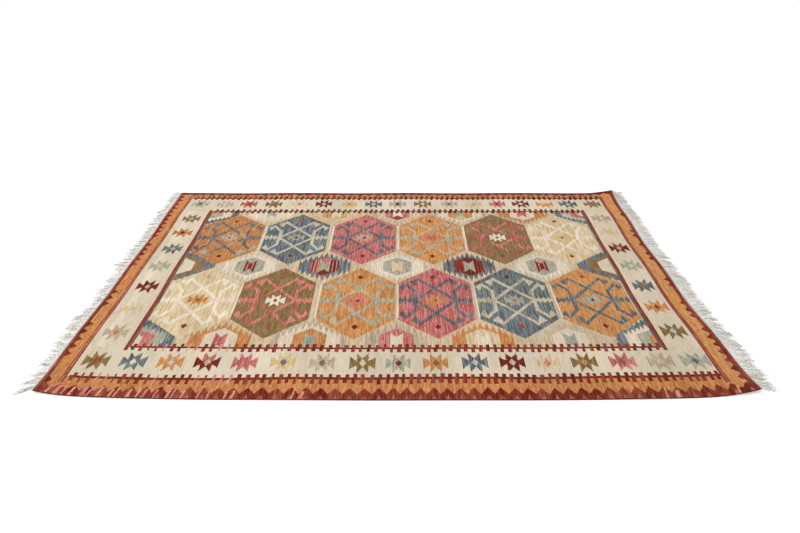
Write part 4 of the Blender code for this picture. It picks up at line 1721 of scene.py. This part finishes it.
def strand_height(n, given, strand, seeds):
    """A strand comes down to the floor, over or under its neighbours."""
    fall = n.ramp(strand.share, 0.0, LANDING, to_low=1.0, to_high=0.0)
    layer = random_between(n, 0.0, PILE_HEIGHT, strand.number, seeds[6])
    hump = n.math("SINE", n.math("MULTIPLY", n.math("POWER", strand.share, 0.8), math.pi))
    lift = n.math("MULTIPLY", layer, n.math("ADD", n.math("MULTIPLY", hump, 0.8), 0.2))
    lift = n.math("MULTIPLY", lift, n.ramp(strand.share, 0.0, 0.2))
    low = n.math("MULTIPLY", given["Thickness"], 0.55)
    above = n.math("ADD", n.math("MULTIPLY", strand.root["Z"], fall), lift)
    return n.math("MAXIMUM", n.math("ADD", above, low), low)


def loose_strands(n, given, guide):
    """One thin tube for each loose warp end."""
    strand = strand_lines(n, given, guide)
    seeds = [n.math("ADD", given["Seed"], float(k)) for k in range(8)]
    tuft, to_middle = tufts(n, given, strand.root["Y"])
    length = strand_length(n, given, strand, tuft, seeds)
    leaning = strand_lean(n, strand, tuft, seeds)
    wave, wave_out = strand_waves(n, given, strand, seeds)
    out = n.math("ADD", n.math("MULTIPLY", length, strand.share), n.math("MULTIPLY", wave_out, 0.7))
    x = n.math("ADD", strand.root["X"], n.math("MULTIPLY", n.math("ADD", out, ROOT_OUT), given["Side"]))
    gathered = n.math("MULTIPLY", to_middle, n.ramp(strand.share, 0.0, 0.75))
    y = n.math("ADD", strand.root["Y"], n.math("ADD", gathered, n.math("ADD", leaning, wave)))
    place = n.vector(x, y, strand_height(n, given, strand, seeds))
    shaped = n.add("GeometryNodeSetPosition", {"Geometry": strand.geometry, "Position": place}).outputs[0]
    slim = n.ramp(strand.share, 0.5, 1.0, to_low=1.0, to_high=TIP_SHARE)
    sized = n.add("GeometryNodeSetCurveRadius", {"Curve": shaped, "Radius": slim}).outputs[0]
    marked = with_lot(n, sized, random_between(n, 0.0, 1.0, strand.number, seeds[7]))
    return tube(n, marked, STRAND_SIDES, n.math("MULTIPLY", given["Thickness"], 0.5))


def with_lot(n, geometry, value):
    """The same curves, with the number by which their shade is chosen."""
    inputs = {"Geometry": geometry, "Name": "lot", "Value": value}
    return n.add("GeometryNodeStoreNamedAttribute", inputs, data_type="FLOAT", domain="POINT").outputs[0]


def tube(n, curves, sides, radius):
    ring = n.add("GeometryNodeCurvePrimitiveCircle", {"Resolution": sides, "Radius": radius}).outputs[0]
    inputs = {"Curve": curves, "Profile Curve": ring, "Fill Caps": True}
    return n.add("GeometryNodeCurveToMesh", inputs).outputs[0]


def twined_cord(n, given, guide):
    """Two cotton strands twisted round each other, which hold the last weft in place."""
    joined = n.add("GeometryNodeJoinGeometry")
    count = n.math("MULTIPLY", given["Cord turns"], float(CORD_POINTS_IN_TURN))
    line = n.add("GeometryNodeResampleCurve", {"Curve": guide, "Count": count}).outputs[0]
    share = n.add("GeometryNodeSplineParameter").outputs["Factor"]
    turned = n.math("MULTIPLY", n.math("MULTIPLY", share, given["Cord turns"]), math.tau)
    for start in (0.0, math.pi):
        angle = n.math("ADD", turned, start)
        out = n.math("ADD", n.math("MULTIPLY", n.math("COSINE", angle), CORD_RADIUS), CORD_OUT)
        up = n.math("MULTIPLY", n.math("SINE", angle), CORD_RADIUS)
        offset = n.vector(n.math("MULTIPLY", out, given["Side"]), 0.0, up)
        moved = n.add("GeometryNodeSetPosition", {"Geometry": line, "Offset": offset}).outputs[0]
        strand = tube(n, with_lot(n, moved, CORD_LOT), CORD_SIDES, CORD_RADIUS)
        n.tree.links.new(strand, joined.inputs["Geometry"])
    return joined.outputs[0]


def grown_mesh(name, guide, tree, values):
    """Runs a Geometry Nodes tree on a guide mesh and gives back the result as a plain object."""
    source = bpy.data.objects.new(name + "_source", guide)
    bpy.context.scene.collection.objects.link(source)
    modifier = source.modifiers.new("Growth", "NODES")
    modifier.node_group = tree
    identifiers = {s.name: s.identifier for s in tree.interface.items_tree if s.in_out == "INPUT"}
    for label, value in values.items():
        modifier[identifiers[label]] = value
    evaluated = source.evaluated_get(bpy.context.evaluated_depsgraph_get())
    mesh = bpy.data.meshes.new_from_object(evaluated)
    source.modifiers.remove(modifier)
    bpy.data.objects.remove(source)
    bpy.data.meshes.remove(guide)
    mesh.name = name
    made = bpy.data.objects.new(name, mesh)
    bpy.context.scene.collection.objects.link(made)
    return made


# ---------------------------------------------------------------- operators

def shared_groups():
    """The node groups that the materials share, built once."""
    makers = {"streaks": streaks_group, "grain": grain_group, "rib": rib_group}
    names = {"streaks": "Weft streaks", "grain": "Yarn grain", "rib": "Ribbed weave"}
    return {key: bpy.data.node_groups.get(names[key]) or make() for key, make in makers.items()}


class KILIM_OT_weave_panel(bpy.types.Operator):
    """Weaves the panel from its chart and lays it down"""

    bl_idname = "kilim.weave_panel"
    bl_label = "Weave the panel"

    def execute(self, context):
        settings = context.scene.kilim_cloth
        yarns = context.scene.kilim_yarns
        chart = draw_chart(settings.row, settings.seed)
        under_chart = draw_chart(settings.row, settings.seed, UNDERSIDE_COARSENESS)
        mesh, owners = cloth_mesh(chart, under_chart, settings)
        paint(mesh, chart.patches + under_chart.patches, owners, yarns)
        mesh.materials.append(wool_material(shared_groups(), settings))
        panel = bpy.data.objects.new("woven_panel", mesh)
        context.scene.collection.objects.link(panel)
        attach(panel, "root")
        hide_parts("kilim_cloth")
        return {"FINISHED"}


class KILIM_OT_lay_fringes(bpy.types.Operator):
    """Lays the loose warp ends and their twined cord at both short ends"""

    bl_idname = "kilim.lay_fringes"
    bl_label = "Lay the fringes"

    def execute(self, context):
        settings = context.scene.kilim_fringe
        material = cotton_material(shared_groups(), context.scene.kilim_yarns)
        tree = fringe_tree(material)
        for end, name in ((-1, "left"), (1, "right")):
            strands, length, unevenness = FRINGE_LIES[end]
            values = {
                "Strands": round(settings.strands * strands), "Side": float(end),
                "Length": settings.length * length, "Unevenness": settings.unevenness * unevenness,
                "Thickness": settings.thickness,
                "Tuft pitch": settings.tuft_pitch, "Gather": settings.gather, "Curl": settings.curl,
                "Cord turns": round(PANEL_WIDTH / CORD_TURN), "Seed": settings.seed + end,
            }
            fringe = grown_mesh("loose_fringe_" + name, fringe_guide(end), tree, values)
            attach(fringe, "root")
            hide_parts("fringe_" + name)
            print(fringe.name, sum(len(p.vertices) - 2 for p in fringe.data.polygons), "triangles")
        return {"FINISHED"}


FLOOR_SIZE = 80.0
LAMP_SIZE = 5.0
LAMP_PLACE = (-1.4, 0.6, 4.2)
LAMP_TARGET = (0.0, -0.2, 0.0)
FLOOR_CELLS = 8
SENSOR_WIDTH = 36.0  # millimetres
CAMERA_SIGHT = 200.0


def add_floor(scene, settings):
    mesh = bpy.data.meshes.new("floor")
    bm = bmesh.new()
    bmesh.ops.create_grid(bm, x_segments=FLOOR_CELLS, y_segments=FLOOR_CELLS, size=FLOOR_SIZE / 2)
    bm.to_mesh(mesh)
    bm.free()
    mesh.materials.append(floor_material(settings))
    floor = bpy.data.objects.new("floor", mesh)
    scene.collection.objects.link(floor)


def light_room(scene, settings):
    """Even white light from all round, and a large soft lamp overhead."""
    world = bpy.data.worlds.new("soft_room")
    world.use_nodes = True
    background = next(node for node in world.node_tree.nodes if node.type == "BACKGROUND")
    background.inputs["Color"].default_value = (1.0, 1.0, 1.0, 1.0)
    background.inputs["Strength"].default_value = settings.sky
    scene.world = world
    light = bpy.data.lights.new("soft_lamp", "AREA")
    light.shape = "SQUARE"
    light.size = LAMP_SIZE
    light.energy = settings.lamp
    lamp = bpy.data.objects.new("soft_lamp", light)
    lamp.location = LAMP_PLACE
    ray = Vector(LAMP_TARGET) - Vector(LAMP_PLACE)
    lamp.rotation_euler = ray.to_track_quat("-Z", "Y").to_euler()
    scene.collection.objects.link(lamp)


def place_camera(scene, settings):
    lens = bpy.data.cameras.new("camera")
    lens.sensor_width = SENSOR_WIDTH
    lens.lens = settings.lens
    lens.clip_end = CAMERA_SIGHT
    camera = bpy.data.objects.new("camera", lens)
    camera.location = settings.camera_place
    camera.rotation_euler = (settings.camera_tilt, 0.0, 0.0)
    scene.collection.objects.link(camera)
    scene.camera = camera
    scene.view_settings.view_transform = "Standard"


class KILIM_OT_set_stage(bpy.types.Operator):
    """Adds the white floor, the soft light and the camera"""

    bl_idname = "kilim.set_stage"
    bl_label = "Set the stage"

    def execute(self, context):
        scene = context.scene
        for step in (add_floor, light_room, place_camera):
            step(scene, scene.kilim_stage)
        return {"FINISHED"}


class KILIM_PT_rug(bpy.types.Panel):
    """The rug's pieces and their sizes"""

    bl_label = "Kilim rug"
    bl_idname = "KILIM_PT_rug"
    bl_space_type = "VIEW_3D"
    bl_region_type = "UI"
    bl_category = "Kilim"

    def draw(self, context):
        layout = self.layout
        for operator in OPERATORS:
            layout.operator(operator.bl_idname)
        for name, group in SETTINGS.items():
            box = layout.box()
            box.label(text=group.__doc__)
            for key in group.__annotations__:
                box.prop(getattr(context.scene, name), key)


OPERATORS = (KILIM_OT_weave_panel, KILIM_OT_lay_fringes, KILIM_OT_set_stage)
SETTINGS = {
    "kilim_cloth": ClothSettings,
    "kilim_yarns": YarnColours,
    "kilim_fringe": FringeSettings,
    "kilim_stage": StageSettings,
}


def register():
    for group in (*SETTINGS.values(), *OPERATORS, KILIM_PT_rug):
        bpy.utils.register_class(group)
    for name, group in SETTINGS.items():
        setattr(bpy.types.Scene, name, PointerProperty(type=group))


def unregister():
    for name in SETTINGS:
        delattr(bpy.types.Scene, name)
    for group in (KILIM_PT_rug, *reversed(OPERATORS), *SETTINGS.values()):
        bpy.utils.unregister_class(group)


def main():
    register()
    bpy.ops.kilim.weave_panel()
    bpy.ops.kilim.lay_fringes()
    bpy.ops.kilim.set_stage()
    bpy.context.view_layer.update()


if __name__ == "__main__":
    main()
